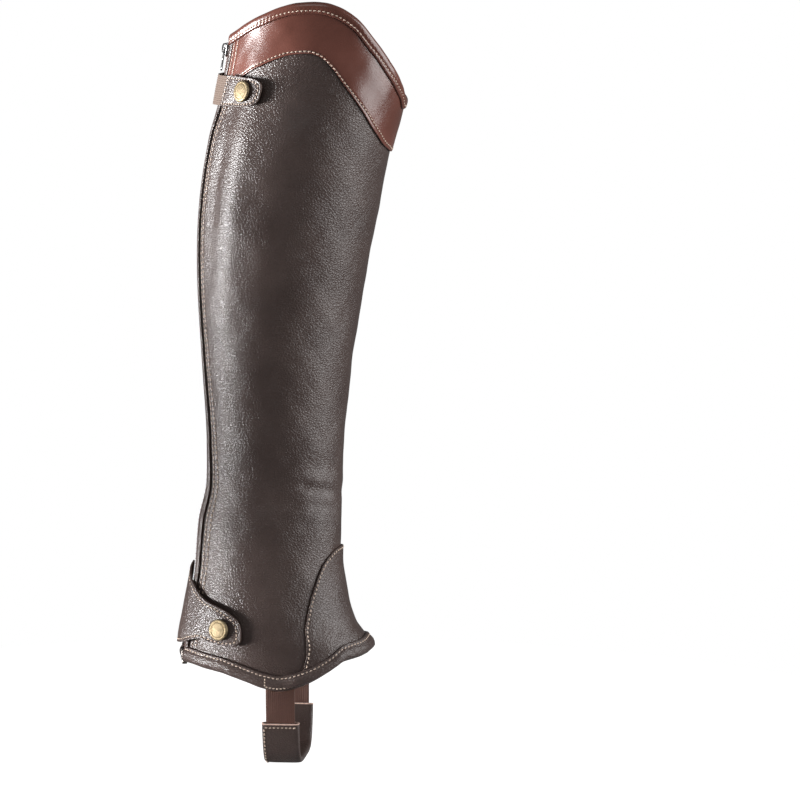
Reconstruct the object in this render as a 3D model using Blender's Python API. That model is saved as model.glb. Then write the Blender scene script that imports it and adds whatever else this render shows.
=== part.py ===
"""Leather half chap for the right leg, zipped closed and hollow, in the shape it has when worn.

Sizes are in millimetres until a mesh is made. +Z is up, -Y the front (toe), +Y the back (zip),
-X the outer side of the leg and +X its inner side. The origin is on the leg's axis, level with
the back of the hem.

A place on the leather is given by three numbers:
  around  degrees from the back towards the inner side: 0 back, 90 inner, 180 front, 270 outer
  z       height
  out     distance outwards from the outer face of the body panel
Beside the zip, `along` takes the place of `around`: millimetres from the zip's centre line,
positive towards the inner side.
"""

from collections import namedtuple
from math import radians

import bmesh
import bpy
import numpy as np
from mathutils import Matrix, Vector

MM = 0.001

# ---------------------------------------------------------------- walls and layers
GAP = 0.3
BODY_WALL = 1.4
COLLAR_WALL = 1.1
FACING_WALL = 1.0
STRIP_WALL = 1.2
STRIP_ROUND = 0.6
GUSSET_GAP = 0.5
GUSSET_WALL = 1.3
FLAP_WALL = 1.4
TAB_WALL = 1.3
TAPE_WALL = 1.0
BAND_WALL = 1.1

COLLAR_FACE = GAP + COLLAR_WALL
STRIP_FACE = GAP + STRIP_WALL
GUSSET_FACE = GUSSET_GAP + GUSSET_WALL
FACING_BACK = -BODY_WALL - GAP - FACING_WALL

# ---------------------------------------------------------------- the leg's form
Section = namedtuple("Section", "z ahead inward deep wide")
# ahead, inward: where the ring's centre lies; deep, wide: half its size front to back and across.
SECTIONS = (
    Section(-25, 6.0, 0.0, 60.0, 42.0),
    Section(0, 6.0, 0.0, 60.0, 42.0),
    Section(10, 5.5, 0.0, 58.5, 41.7),
    Section(23, 2.0, 0.0, 53.4, 40.6),
    Section(40, 0.7, 0.0, 49.4, 38.8),
    Section(62, 0.8, 0.0, 46.3, 36.7),
    Section(88, 1.9, 0.3, 45.5, 34.8),
    Section(114, 4.6, 2.0, 43.2, 34.3),
    Section(140, 5.2, 4.0, 43.6, 38.3),
    Section(192, 5.9, 7.0, 47.9, 43.8),
    Section(244, 8.4, 9.0, 53.5, 48.5),
    Section(296, 14.1, 10.0, 57.5, 53.3),
    Section(335, 21.5, 9.0, 58.5, 53.0),
    Section(361, 28.9, 8.5, 57.8, 49.5),
    Section(400, 35.2, 8.0, 56.5, 47.5),
    Section(430, 37.8, 8.0, 55.5, 47.0),
)
PEAR = 0.05  # the ring is this share wider at the back than at its middle

ZipPoint = namedtuple("ZipPoint", "z around rise")
# rise: the stiff zip lifts the leather beside it into a low keel.
ZIP_LINE = (
    ZipPoint(-25, -11, 3.0),
    ZipPoint(0, -11, 3.0),
    ZipPoint(90, -12, 3.0),
    ZipPoint(155, -10, 2.0),
    ZipPoint(220, -8, 0.6),
    ZipPoint(325, -7, 0.6),
    ZipPoint(372, -9, 3.2),
    ZipPoint(430, -11, 3.2),
)
ZIP_RISE_REACH = 11.0

Fold = namedtuple("Fold", "around z reach height rise")
FOLDS = (
    Fold(324, 312, 8, 60, -2.2),
    Fold(303, 312, 9, 55, 1.3),
    Fold(222, 128, 16, 7, -1.0),
    Fold(258, 104, 20, 7, -1.1),
    Fold(300, 122, 14, 6, -0.9),
    Fold(60, 118, 18, 7, -1.1),
    Fold(128, 105, 18, 7, -1.0),
)

# ---------------------------------------------------------------- edges
TopEdge = namedtuple("TopEdge", "around rim collar")
# rim: the mouth's edge; collar: the collar's lower edge.
TOP_EDGE = (
    TopEdge(-12, 395.5, 367.5),
    TopEdge(35, 393, 362.5),
    TopEdge(60, 389, 355.5),
    TopEdge(85, 381.5, 346.5),
    TopEdge(122, 372.5, 337),
    TopEdge(150, 367, 331),
    TopEdge(180, 363, 328),
    TopEdge(195, 372, 331.5),
    TopEdge(211, 384, 340.6),
    TopEdge(230, 401, 355.6),
    TopEdge(245, 414.5, 370),
    TopEdge(257, 421, 382.7),
    TopEdge(266, 423.5, 389.6),
    TopEdge(273, 424, 391.5),
    TopEdge(284, 423.4, 390.7),
    TopEdge(295, 421, 387.4),
    TopEdge(308, 416.5, 382),
    TopEdge(319, 412.5, 377),
    TopEdge(333, 407, 371),
    TopEdge(350, 401, 366),
)
COLLAR_LEVELS = (370.0, 390.0)
FACING_LIFT = 6.0  # the facing ends this much above the collar's lower edge

HemPoint = namedtuple("HemPoint", "turn z")
# turn: degrees from the back, the same on both sides. The hem dips where the strap is sewn on.
HEM = (
    HemPoint(0, -2.8),
    HemPoint(25, -3.1),
    HemPoint(45, -4.6),
    HemPoint(58, -6),
    HemPoint(67, -8.4),
    HemPoint(76, -11.3),
    HemPoint(86, -14.8),
    HemPoint(96, -16.6),
    HemPoint(107, -14.4),
    HemPoint(115, -11.6),
    HemPoint(128, -5.2),
    HemPoint(141, 1),
    HemPoint(160, 2.6),
    HemPoint(180, 4),
)

EdgeFold = namedtuple("EdgeFold", "high out inner_high inner_out")
# Half profiles of the folded edges: distance from the edge, and distance out, of both faces.
HEM_ROLL = (
    EdgeFold(10.3, 1.2, 10.3, 0.3),
    EdgeFold(8.2, 2.1, 8.4, 0.6),
    EdgeFold(3.9, 2.8, 4.1, 0.6),
    EdgeFold(0.6, 1.1, 1.6, 0.2),
    EdgeFold(0.2, -2.0, 1.3, -1.6),
    EdgeFold(2.5, -2.8, 2.5, -1.75),
    EdgeFold(7.0, -2.8, 7.0, -1.75),
)
HEM_OUTER_ROWS = 4  # these lie outside, and step over the gusset
RIM_FOLD = (
    EdgeFold(7.2, 2.7, 7.2, 1.7),
    EdgeFold(4.4, 3.0, 4.4, 1.7),
    EdgeFold(1.3, 2.6, 2.0, 1.7),
    EdgeFold(0.2, 1.2, 1.2, 0.9),
    EdgeFold(0.2, -2.5, 1.2, -2.2),
    EdgeFold(1.3, -3.8, 2.0, -3.0),
    EdgeFold(7.0, -4.0, 7.0, -3.0),
)
EDGE_INSIDE = 2.3  # a layer's raw edge stops this far inside its folded edge
HEM_TOP = 10.6
RIM_BOTTOM = 7.6

# ---------------------------------------------------------------- zip
PANEL_EDGE = 6.0
STRIP_WIDTH = 3.6
TAPE_EDGE = 13.0
TAPE_GAP = 0.4
CHAIN_HALF = 2.8
CHAIN_LOW, CHAIN_HIGH = 5.4, 390.3
TAPE_LOW, TAPE_HIGH = 6.5, 391.8
CHAIN_OUT, CHAIN_BACK = -0.3, -3.2
SLIDER_Z = 393.5
PULL_AXIS_OUT = 2.55
PULL_LENGTH = 14.6
PULL_HALF = 3.2
PULL_THICK = 1.0
BOX_Z = -1.6

# ---------------------------------------------------------------- gusset, flap, band, strap
GussetPoint = namedtuple("GussetPoint", "spread z")
# spread: degrees to each side of the front; z: the gusset's upper edge there.
GUSSET_EDGE = (
    GussetPoint(0, 73.0),
    GussetPoint(12, 72.7),
    GussetPoint(23, 71.0),
    GussetPoint(35, 65.0),
    GussetPoint(42, 57.5),
    GussetPoint(50, 45.4),
    GussetPoint(56, 33.0),
    GussetPoint(63, 17.6),
    GussetPoint(70, -6.0),
)
GUSSET_SPREAD = 69.5
NOTCH_INSET = 10.0
NOTCH_DROP = 8.0

Lying = namedtuple("Lying", "along low high off")
# A piece that lies over the zip: its lower and upper edge, and how far it stands off the body.
FLAP = (
    Lying(-45.6, 18.4, 21.4, 2.6),
    Lying(-45.1, 15.6, 24.4, 2.6),
    Lying(-43.4, 13.4, 28.0, 2.6),
    Lying(-40.2, 12.3, 31.4, 2.7),
    Lying(-35.6, 12.2, 34.6, 2.9),
    Lying(-29.8, 13.2, 37.2, 3.0),
    Lying(-22.8, 15.2, 40.0, 3.0),
    Lying(-15.8, 13.5, 43.6, 2.7),
    Lying(-8.5, 10.6, 49.6, 2.5),
    Lying(0.0, 9.2, 58.0, 1.2),
    Lying(5.6, 8.4, 62.0, 0.3),
)
FLAP_FLARE = 3.0
FLAP_FLARE_ALONG = -12.0
FLAP_FLARE_REACH = 16.0
BAND_TAB = (
    Lying(-46.0, 364.0, 367.0, 3.1),
    Lying(-45.6, 361.0, 370.0, 3.1),
    Lying(-44.0, 358.6, 372.4, 3.1),
    Lying(-41.0, 357.0, 374.3, 3.1),
    Lying(-35.0, 356.3, 375.4, 3.1),
    Lying(-29.0, 356.2, 375.8, 3.3),
    Lying(-22.5, 356.2, 376.2, 4.4),
    Lying(-16.3, 356.2, 376.4, 4.4),
)
BAND_ELASTIC = (
    Lying(-21.5, 356.8, 375.6, 3.0),
    Lying(-6.0, 357.2, 376.2, 3.0),
    Lying(0.0, 357.8, 376.8, 2.6),
    Lying(3.0, 358.4, 377.2, 1.7),
    Lying(5.6, 359.0, 377.8, 0.4),
)
BAND_SNAP_ALONG, BAND_SNAP_Z = -34.8, 366.3
FLAP_SNAP_ALONG, FLAP_SNAP_Z = -34.8, 22.4
SNAP_SEAT = 0.6  # the flat caps stand this far off the curved leather

Turned = namedtuple("Turned", "radius height")
SNAP_CAP = (
    Turned(0.0, 0.0),
    Turned(6.4, 0.0),
    Turned(7.0, 0.5),
    Turned(6.9, 1.0),
    Turned(6.3, 1.5),
    Turned(5.6, 1.4),
    Turned(5.1, 1.8),
    Turned(3.4, 2.2),
    Turned(1.6, 2.4),
    Turned(0.0, 2.5),
)
SNAP_STUD = (
    Turned(0.0, 0.0),
    Turned(4.6, 0.0),
    Turned(4.6, 0.5),
    Turned(3.0, 0.8),
    Turned(3.0, 1.6),
    Turned(4.2, 1.9),
    Turned(4.2, 2.2),
    Turned(0.0, 2.2),
)

StrapPoint = namedtuple("StrapPoint", "step side height")
# The strap's centre line, from one end sewn inside the hem to the middle under the foot.
STRAP = (
    StrapPoint(0, 37.2, -5.0),
    StrapPoint(1, 37.3, -16.5),
    StrapPoint(2, 35.8, -38.0),
    StrapPoint(3, 33.2, -49.0),
    StrapPoint(4, 29.0, -59.0),
    StrapPoint(5, 23.0, -64.0),
    StrapPoint(6, 12.0, -65.5),
    StrapPoint(7, 0.0, -65.6),
)
STRAP_MIDDLE_Y = -12.2
STRAP_WIDTH = 18.6
STRAP_WALL = 1.6
STRAP_STEP = 0.5  # of the table's steps, between the places where the strap bends
GUARD_START = 2  # the guard's edge, in the table's steps
GUARD_WIDTH = 24.0
GUARD_WALL = 1.2
STRAP_FADE = (-54.0, -18.0)

# ---------------------------------------------------------------- how finely the solids are cut
COLUMNS = 50
NOTCH_SIDE = 60.0  # columns are closer at this many degrees from the front, where edges are steep
NOTCH_SIDE_REACH = 14.0
NOTCH_SIDE_CLOSER = 1.5
RingBand = namedtuple("RingBand", "top rings closing")
# Rings are closer where the leather curves; closing is 1 for even ones and more for rings that
# are closest at the band's foot. The last band ends at the upper edge.
RING_BANDS = (RingBand(135.0, 13, 1.3), RingBand(320.0, 5, 1.0), RingBand(None, 7, 1.0))
TURNS = 20

Finish = namedtuple("Finish", "colour roughness metallic")
FINISHES = {
    "main_leather": Finish((0.098, 0.071, 0.062), 0.45, 0.0),
    "trim_leather": Finish((0.188, 0.062, 0.045), 0.30, 0.0),
    "band_elastic": Finish((0.190, 0.120, 0.080), 0.80, 0.0),
    "stirrup_elastic": Finish((0.141, 0.058, 0.042), 0.80, 0.0),
    "zip_tape": Finish((0.060, 0.035, 0.028), 0.85, 0.0),
    "zip_teeth": Finish((0.120, 0.060, 0.050), 0.35, 0.0),
    "nickel": Finish((0.620, 0.600, 0.570), 0.25, 1.0),
    "brass": Finish((0.520, 0.350, 0.120), 0.30, 1.0),
}


# ---------------------------------------------------------------- curves through tables
def through(rows, column, at):
    """A smooth curve through one column of a table, read at the first column's values."""
    keys = np.array([row[0] for row in rows], float)
    values = np.array([getattr(row, column) for row in rows], float)
    step = np.diff(keys)
    rise = np.diff(values) / step
    onward = rise[:-1] * rise[1:] > 0
    both = np.where(onward, rise[:-1] + rise[1:], 1.0)
    slope = np.zeros(len(keys))
    slope[1:-1] = np.where(onward, 2 * rise[:-1] * rise[1:] / both, 0.0)
    slope[0], slope[-1] = rise[0], rise[-1]
    at = np.asarray(at, float)
    i = np.clip(np.searchsorted(keys, at) - 1, 0, len(step) - 1)
    t = np.clip((at - keys[i]) / step[i], 0.0, 1.0)
    start = (1 + 2 * t) * (1 - t) ** 2 * values[i] + t * (1 - t) ** 2 * step[i] * slope[i]
    end = t * t * (3 - 2 * t) * values[i + 1] - t * t * (1 - t) * step[i] * slope[i + 1]
    return start + end


def smooth_step(value, low, high):
    share = np.clip((value - low) / (high - low), 0.0, 1.0)
    return share * share * (3 - 2 * share)


def wrapped(degrees):
    """An angle brought between -180 and 180."""
    return (degrees + 180.0) % 360.0 - 180.0


# ---------------------------------------------------------------- the leather's surface
def beside_zip(along, z):
    """The angle at a distance from the zip's centre line."""
    return through(ZIP_LINE, "around", z) + np.degrees(along / through(SECTIONS, "wide", z))


def from_zip(around, z):
    """The distance from the zip's centre line at an angle."""
    turn = wrapped(around - through(ZIP_LINE, "around", z))
    return np.radians(turn) * through(SECTIONS, "wide", z)


def folds(around, z):
    """How far the soft folds raise or sink the leather."""
    total = 0.0
    for fold in FOLDS:
        sideways = wrapped(around - fold.around) / fold.reach
        upwards = (z - fold.z) / fold.height
        total = total + fold.rise * np.exp(-(sideways**2) - upwards**2)
    return total


def leather(around, z):
    """Points of the body panel's outer face."""
    around, z = np.broadcast_arrays(np.asarray(around, float), np.asarray(z, float))
    angle = np.radians(around)
    keel = through(ZIP_LINE, "rise", z) * np.exp(-((from_zip(around, z) / ZIP_RISE_REACH) ** 2))
    lift = keel + folds(around, z)
    wide = through(SECTIONS, "wide", z) * (1 + PEAR * np.cos(angle)) + lift
    deep = through(SECTIONS, "deep", z) + lift
    x = through(SECTIONS, "inward", z) + wide * np.sin(angle)
    y = -through(SECTIONS, "ahead", z) + deep * np.cos(angle)
    return np.stack([x, y, z], axis=-1)


def outward(around, z):
    """The leather's outward direction, of length 1."""
    turn, rise = 0.5, 0.5
    sideways = leather(around + turn, z) - leather(around - turn, z)
    upwards = leather(around, z + rise) - leather(around, z - rise)
    normal = np.cross(upwards, sideways)
    return normal / np.linalg.norm(normal, axis=-1, keepdims=True)


def skin(around, z, out):
    """Points at a distance out from the body panel's outer face."""
    around, z, out = np.broadcast_arrays(around, z, out)
    return leather(around, z) + outward(around, z) * out[..., None]


# ---------------------------------------------------------------- edges as functions
def hem(around):
    return through(HEM, "z", np.abs(wrapped(around)))


def below_rim(around, drop):
    """The height a distance below the rim, measured square to it."""
    turn = 1.0
    climb = through(TOP_EDGE, "rim", around + turn) - through(TOP_EDGE, "rim", around - turn)
    run = leather(around + turn, 390.0) - leather(around - turn, 390.0)
    slope = climb / np.linalg.norm(run, axis=-1)
    return through(TOP_EDGE, "rim", around) - drop * np.sqrt(1 + slope**2)


def gusset_edge(around):
    return through(GUSSET_EDGE, "z", np.abs(wrapped(around - 180.0)))


def body_low(around):
    """The body panel's lower edge: inside the hem's roll, and up over the notch in front."""
    spread = np.abs(wrapped(around - 180.0)) + NOTCH_INSET
    notch = through(GUSSET_EDGE, "z", spread) - NOTCH_DROP
    return np.maximum(hem(around) + EDGE_INSIDE, notch)


def inner_edge(z):
    return beside_zip(PANEL_EDGE, z)


def outer_edge(z):
    return beside_zip(-PANEL_EDGE, z) + 360.0


# ---------------------------------------------------------------- meshes
def material(finish_name):
    found = bpy.data.materials.get(finish_name)
    if found:
        return found
    finish = FINISHES[finish_name]
    made = bpy.data.materials.new(finish_name)
    made.use_nodes = True
    shader = made.node_tree.nodes["Principled BSDF"]
    shader.inputs["Base Color"].default_value = (*finish.colour, 1.0)
    shader.inputs["Roughness"].default_value = finish.roughness
    shader.inputs["Metallic"].default_value = finish.metallic
    return made


def new_object(name, mesh, finish_name, smooth_angle=40):
    mesh.shade_smooth()
    mesh.set_sharp_from_angle(angle=radians(smooth_angle))
    mesh.materials.append(material(finish_name))
    made = bpy.data.objects.new(name, mesh)
    bpy.context.scene.collection.objects.link(made)
    return made


def mesh_from(name, points, faces):
    """A mesh in metres from points in millimetres, its faces turned outwards."""
    mesh = bpy.data.meshes.new(name)
    mesh.from_pydata([tuple(point) for point in np.asarray(points) * MM], [], faces)
    work = bmesh.new()
    work.from_mesh(mesh)
    bmesh.ops.recalc_face_normals(work, faces=work.faces)
    # Slanting cells are parted the short way, which keeps both halves on the leather's curve.
    bmesh.ops.triangulate(work, faces=work.faces, quad_method="SHORT_EDGE")
    work.to_mesh(mesh)
    work.free()
    return mesh


def shell(name, outer, inner, finish_name, tube=False):
    """A wall between two grids of points; a tube's columns close on themselves."""
    rows, columns = outer.shape[:2]
    points = np.concatenate([outer.reshape(-1, 3), inner.reshape(-1, 3)])

    def corner(layer, row, column):
        return (layer * rows + row) * columns + column % columns

    faces = []
    for row in range(rows - 1):
        for column in range(columns if tube else columns - 1):
            cell = [(row, column), (row, column + 1), (row + 1, column + 1), (row + 1, column)]
            faces.append([corner(0, *at) for at in cell])
            faces.append([corner(1, *at) for at in reversed(cell)])
    for row in (0, rows - 1):
        for column in range(columns if tube else columns - 1):
            pair = [(row, column), (row, column + 1)]
            faces.append([corner(0, *pair[0]), corner(0, *pair[1])]
                         + [corner(1, *pair[1]), corner(1, *pair[0])])
    if not tube:
        for column in (0, columns - 1):
            for row in range(rows - 1):
                pair = [(row, column), (row + 1, column)]
                faces.append([corner(0, *pair[0]), corner(0, *pair[1])]
                             + [corner(1, *pair[1]), corner(1, *pair[0])])
    return new_object(name, mesh_from(name, points, faces), finish_name)


def column_shares():
    """Where the columns stand between a ring's start and its end, from 0 to 1."""
    turn = np.linspace(0.0, 360.0, 721)
    from_side = (np.abs(turn - 180.0) - NOTCH_SIDE) / NOTCH_SIDE_REACH
    total = np.cumsum(1.0 + NOTCH_SIDE_CLOSER * np.exp(-(from_side**2)))
    share = (total - total[0]) / (total[-1] - total[0])
    return np.interp(np.linspace(0.0, 1.0, COLUMNS), share, turn / 360.0)


def ring_grid(start, end, low, high, shares, levels=(0.0, 390.0)):
    """Angles and heights of a piece that wraps the leg from one edge to another.

    start and end give the angle at a height; low and high give the height at an angle, and
    levels are the heights at which those angles are read.
    """
    across = column_shares()
    bottom, top = (
        edge(start(level) + (end(level) - start(level)) * across)
        for edge, level in zip((low, high), levels)
    )
    z = shares(bottom, top)
    return start(z) + (end(z) - start(z)) * across, z


def even_rows(count):
    def shares(bottom, top):
        return bottom + (top - bottom) * np.linspace(0.0, 1.0, count)[:, None]
    return shares


def leg_rows(bottom, top):
    """Heights of the rings of everything that runs from the hem to the rim."""
    rows, start = [bottom], bottom
    for band in RING_BANDS:
        end = top if band.top is None else band.top + 0 * top
        shares = (np.arange(1, band.rings + 1) / band.rings) ** band.closing
        rows += [start + (end - start) * share for share in shares]
        start = end
    return np.stack(rows)


def layer(name, around, z, face, wall, finish_name):
    return shell(name, skin(around, z, face), skin(around, z, face - wall), finish_name)


# ---------------------------------------------------------------- leather pieces
def below_rim_fold(around):
    """The upper edge of every layer that the rim's folded edge covers."""
    return below_rim(around, EDGE_INSIDE)


def collar_low(around):
    return through(TOP_EDGE, "collar", around)


def make_body_panel():
    around, z = ring_grid(inner_edge, outer_edge, body_low, below_rim_fold, leg_rows)
    layer("body_panel", around, z, 0.0, BODY_WALL, "main_leather")


def make_collar():
    def end(z):
        return beside_zip(-PANEL_EDGE - STRIP_WIDTH - GAP, z) + 360.0

    around, z = ring_grid(
        inner_edge, end, collar_low, below_rim_fold, even_rows(5), COLLAR_LEVELS
    )
    layer("collar", around, z, COLLAR_FACE, COLLAR_WALL, "trim_leather")


def make_top_facing():
    """The facing lies inside the mouth, between the two halves of the zip's tape."""
    inset = TAPE_EDGE + 0.5
    around, z = ring_grid(
        lambda z: beside_zip(inset, z),
        lambda z: beside_zip(-inset, z) + 360.0,
        lambda around: collar_low(around) + FACING_LIFT,
        below_rim_fold,
        even_rows(3),
        COLLAR_LEVELS,
    )
    layer("top_facing", around, z, FACING_BACK + FACING_WALL, FACING_WALL, "trim_leather")


def folded_edge(name, heights, step_over, profile, stepped_rows, finish_name):
    """A folded edge along a curve: heights(level, high) gives a profile point's height."""
    across = column_shares()
    grids = []
    for high, out in (("high", "out"), ("inner_high", "inner_out")):
        rise = np.array([getattr(row, high) for row in profile])[:, None]
        distance = np.array([getattr(row, out) for row in profile])[:, None]
        z, start, end = heights(across, rise)
        around = start + (end - start) * across
        outer_leg = (np.arange(len(profile)) < stepped_rows)[:, None]
        grids.append(skin(around, z, distance + step_over(around) * outer_leg))
    return shell(name, grids[0], grids[1], finish_name)


def make_top_binding():
    def heights(across, rise):
        level = inner_edge(390.0) + (outer_edge(390.0) - inner_edge(390.0)) * across
        z = below_rim(level, rise)
        return z, inner_edge(z), outer_edge(z)

    folded_edge("top_binding", heights, lambda a: 0.0, RIM_FOLD, 0, "trim_leather")


def make_hem_binding():
    def heights(across, rise):
        level = inner_edge(0.0) + (outer_edge(0.0) - inner_edge(0.0)) * across
        z = hem(level) + rise
        return z, inner_edge(z), outer_edge(z)

    def over_gusset(around):
        spread = np.abs(wrapped(around - 180.0))
        return GUSSET_FACE * (1 - smooth_step(spread, GUSSET_SPREAD + 3, GUSSET_SPREAD + 13))

    folded_edge(
        "hem_binding", heights, over_gusset, HEM_ROLL, HEM_OUTER_ROWS, "main_leather"
    )


def make_gusset():
    # Columns are closest at the ends, where the edge falls steeply to the hem.
    spread = GUSSET_SPREAD * np.sin(np.linspace(-np.pi / 2, np.pi / 2, 23))
    around = 180.0 + spread
    low = hem(around) + EDGE_INSIDE
    z = even_rows(9)(low, np.maximum(gusset_edge(around), low + 1.0))
    layer("gusset", around + 0 * z, z, GUSSET_FACE, GUSSET_WALL, "main_leather")


def columns_of(rows):
    """A table's own columns and one between each pair."""
    keys = np.array([row.along for row in rows])
    return np.sort(np.concatenate([keys, (keys[1:] + keys[:-1]) / 2]))


def lying_piece(name, rows, count, wall, finish_name, extra=None):
    along = columns_of(rows)
    share = np.linspace(0.0, 1.0, count)[:, None]
    low, high = through(rows, "low", along), through(rows, "high", along)
    z = low + (high - low) * share
    off = through(rows, "off", along) + 0 * z
    if extra:
        off = off + extra(along, share)
    return layer(name, beside_zip(along, z), z, off + wall, wall, finish_name)


def flap_flare(along, share):
    """The flap's lower edge stands away from the ankle."""
    near = np.exp(-(((along - FLAP_FLARE_ALONG) / FLAP_FLARE_REACH) ** 2))
    return FLAP_FLARE * (1 - share) ** 2 * near


def make_zip_edge_strip():
    along = -PANEL_EDGE - STRIP_WIDTH * np.array([1.0, 0.67, 0.33, 0.0])
    crown = np.array([-1.0, 1.0, 1.0, -1.0]) * STRIP_ROUND / 2
    low = hem(beside_zip(along, 0.0)) + HEM_TOP
    high = below_rim(beside_zip(along, 390.0) + 360.0, RIM_BOTTOM)
    z = leg_rows(low, high)
    around = beside_zip(along, z)
    outer = skin(around, z, STRIP_FACE + crown)
    shell("zip_edge_strip", outer, skin(around, z, GAP), "main_leather")


# ---------------------------------------------------------------- zip
def make_zip_tapes():
    for name, side in (("zip_tape_inner", 1), ("zip_tape_outer", -1)):
        along = side * np.array([CHAIN_HALF + GAP, 8.0, TAPE_EDGE])
        z = leg_rows(TAPE_LOW + 0 * along, TAPE_HIGH + 0 * along)
        face = -BODY_WALL - TAPE_GAP
        layer(name, beside_zip(along, z), z, face, TAPE_WALL, "zip_tape")


def make_zip_chain():
    along = np.array([-1.0, -0.5, 0.0, 0.5, 1.0]) * CHAIN_HALF
    round_off = np.array([0.7, 0.1, 0.0, 0.1, 0.7])
    z = leg_rows(CHAIN_LOW + 0 * along, CHAIN_HIGH + 0 * along)
    around = beside_zip(along, z)
    outer = skin(around, z, CHAIN_OUT - round_off)
    shell("zip_chain", outer, skin(around, z, CHAIN_BACK + round_off), "zip_teeth")


def frame_on(along, z, out=0.0):
    """A place on the leather as a matrix: x along the zip's width, y outwards, z up the leg."""
    around = beside_zip(along, z)
    origin = Vector(skin(around, z, np.asarray(out, float)) * MM)
    normal = Vector(outward(around, z))
    side = Vector((normal.y, -normal.x, 0.0)).normalized()
    up = side.cross(normal).normalized()
    turn = Matrix((side, normal, up)).transposed()
    return Matrix.Translation(origin) @ turn.to_4x4()


def box_points(low, high):
    corners = [(x, y, z) for z in (low[2], high[2]) for y in (low[1], high[1])
               for x in (low[0], high[0])]
    faces = [(0, 2, 3, 1), (4, 5, 7, 6), (0, 1, 5, 4), (2, 6, 7, 3), (0, 4, 6, 2), (1, 3, 7, 5)]
    return corners, faces


def box(name, low, high, finish_name="nickel"):
    return new_object(name, mesh_from(name, *box_points(low, high)), finish_name)


def rod(name, radius, half_length, finish_name="nickel", sides=10):
    """A round bar along x."""
    turns = np.linspace(0.0, 2 * np.pi, sides, endpoint=False)
    points = [(x, radius * np.cos(t), radius * np.sin(t))
              for x in (-half_length, half_length) for t in turns]
    faces = [(i, (i + 1) % sides, sides + (i + 1) % sides, sides + i) for i in range(sides)]
    faces += [tuple(range(sides)), tuple(range(2 * sides - 1, sides - 1, -1))]
    return new_object(name, mesh_from(name, points, faces), finish_name)


def combine(target, tools, operation):
    """Joins tools to a piece, or cuts them out of it, and drops them."""
    for tool in tools:
        step = target.modifiers.new(operation, "BOOLEAN")
        step.operation = operation
        step.solver = "EXACT"
        step.object = tool
        bpy.context.view_layer.update()
        graph = bpy.context.evaluated_depsgraph_get()
        mesh = bpy.data.meshes.new_from_object(target.evaluated_get(graph))
        target.modifiers.clear()
        target.data = mesh
        bpy.data.objects.remove(tool)
    return target


def make_zip_slider():
    """Front and back plates joined by a post above the chain, with the pull's bridge in front."""
    slider = box("zip_slider", (-4.0, 0.0, -4.6), (4.0, 1.8, 4.0))
    back = box("back", (-4.0, -5.2, -4.6), (4.0, -3.6, 4.0))
    post = box("post", (-1.2, -5.0, -1.2), (1.2, 1.5, 3.8))
    lower_leg = box("lower_leg", (-0.7, 1.2, -3.4), (0.7, 4.3, -2.2))
    upper_leg = box("upper_leg", (-0.7, 1.2, 2.2), (0.7, 4.3, 3.3))
    bridge = box("bridge", (-0.7, 3.3, -3.4), (0.7, 4.3, 3.3))
    combine(slider, [back, post, lower_leg, upper_leg, bridge], "UNION")
    slider.matrix_world = frame_on(0.0, SLIDER_Z)


def make_zip_pull():
    """A flat tab whose top bar turns inside the slider's bridge; its origin is on that axis."""
    half = PULL_THICK / 2
    pull = box("zip_pull", (-PULL_HALF, -half, -PULL_LENGTH), (PULL_HALF, half, 0.45))
    window = box("window", (-1.3, -2.0, -4.4), (1.3, 2.0, 2.0))
    slot = box("slot", (-1.5, -2.0, -11.6), (1.5, 2.0, -6.2))
    combine(pull, [window, slot], "DIFFERENCE")
    combine(pull, [rod("bar", 0.42, 2.2)], "UNION")
    pull.matrix_world = frame_on(0.0, SLIDER_Z, PULL_AXIS_OUT)


def make_zip_box():
    """The retaining box and the slotted pin holder below it."""
    base = box("zip_box", (-3.2, -3.6, -0.8), (3.2, 0.7, 6.3))
    foot = box("foot", (-2.6, -3.0, -3.6), (2.6, 0.1, -0.4))
    combine(base, [foot], "UNION")
    combine(base, [box("slit", (-0.7, -4.0, -2.9), (0.7, 1.0, -1.5))], "DIFFERENCE")
    base.matrix_world = frame_on(0.0, BOX_Z)


# ---------------------------------------------------------------- press studs
def turned(name, profile, place, finish_name):
    """A profile turned about the outward direction at a place."""
    turns = np.linspace(0.0, 2 * np.pi, TURNS, endpoint=False)
    points, rings = [], []
    for row in profile:
        if row.radius == 0:
            rings.append([len(points)] * TURNS)
            points.append((0.0, row.height, 0.0))
        else:
            rings.append(list(range(len(points), len(points) + TURNS)))
            points += [(row.radius * np.cos(t), row.height, row.radius * np.sin(t)) for t in turns]
    faces = []
    for lower, upper in zip(rings[:-1], rings[1:]):
        for i in range(TURNS):
            j = (i + 1) % TURNS
            corners = [lower[i], lower[j], upper[j], upper[i]]
            faces.append(list(dict.fromkeys(corners)))
    made = new_object(name, mesh_from(name, points, faces), finish_name, smooth_angle=30)
    made.matrix_world = place


def make_press_studs():
    snaps = (
        ("band", BAND_TAB, BAND_SNAP_ALONG, BAND_SNAP_Z, TAB_WALL),
        ("flap", FLAP, FLAP_SNAP_ALONG, FLAP_SNAP_Z, FLAP_WALL),
    )
    for name, rows, along, z, wall in snaps:
        off = float(through(rows, "off", along))
        if name == "flap":
            off += flare_at(along, z)
        cap = frame_on(along, z, off + wall + SNAP_SEAT)
        turned(f"{name}_snap", SNAP_CAP, cap, "brass")
        turned(f"{name}_stud", SNAP_STUD, frame_on(along, z, GAP), "brass")


def flare_at(along, z):
    low, high = float(through(FLAP, "low", along)), float(through(FLAP, "high", along))
    return float(flap_flare(along, (z - low) / (high - low)))


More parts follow.
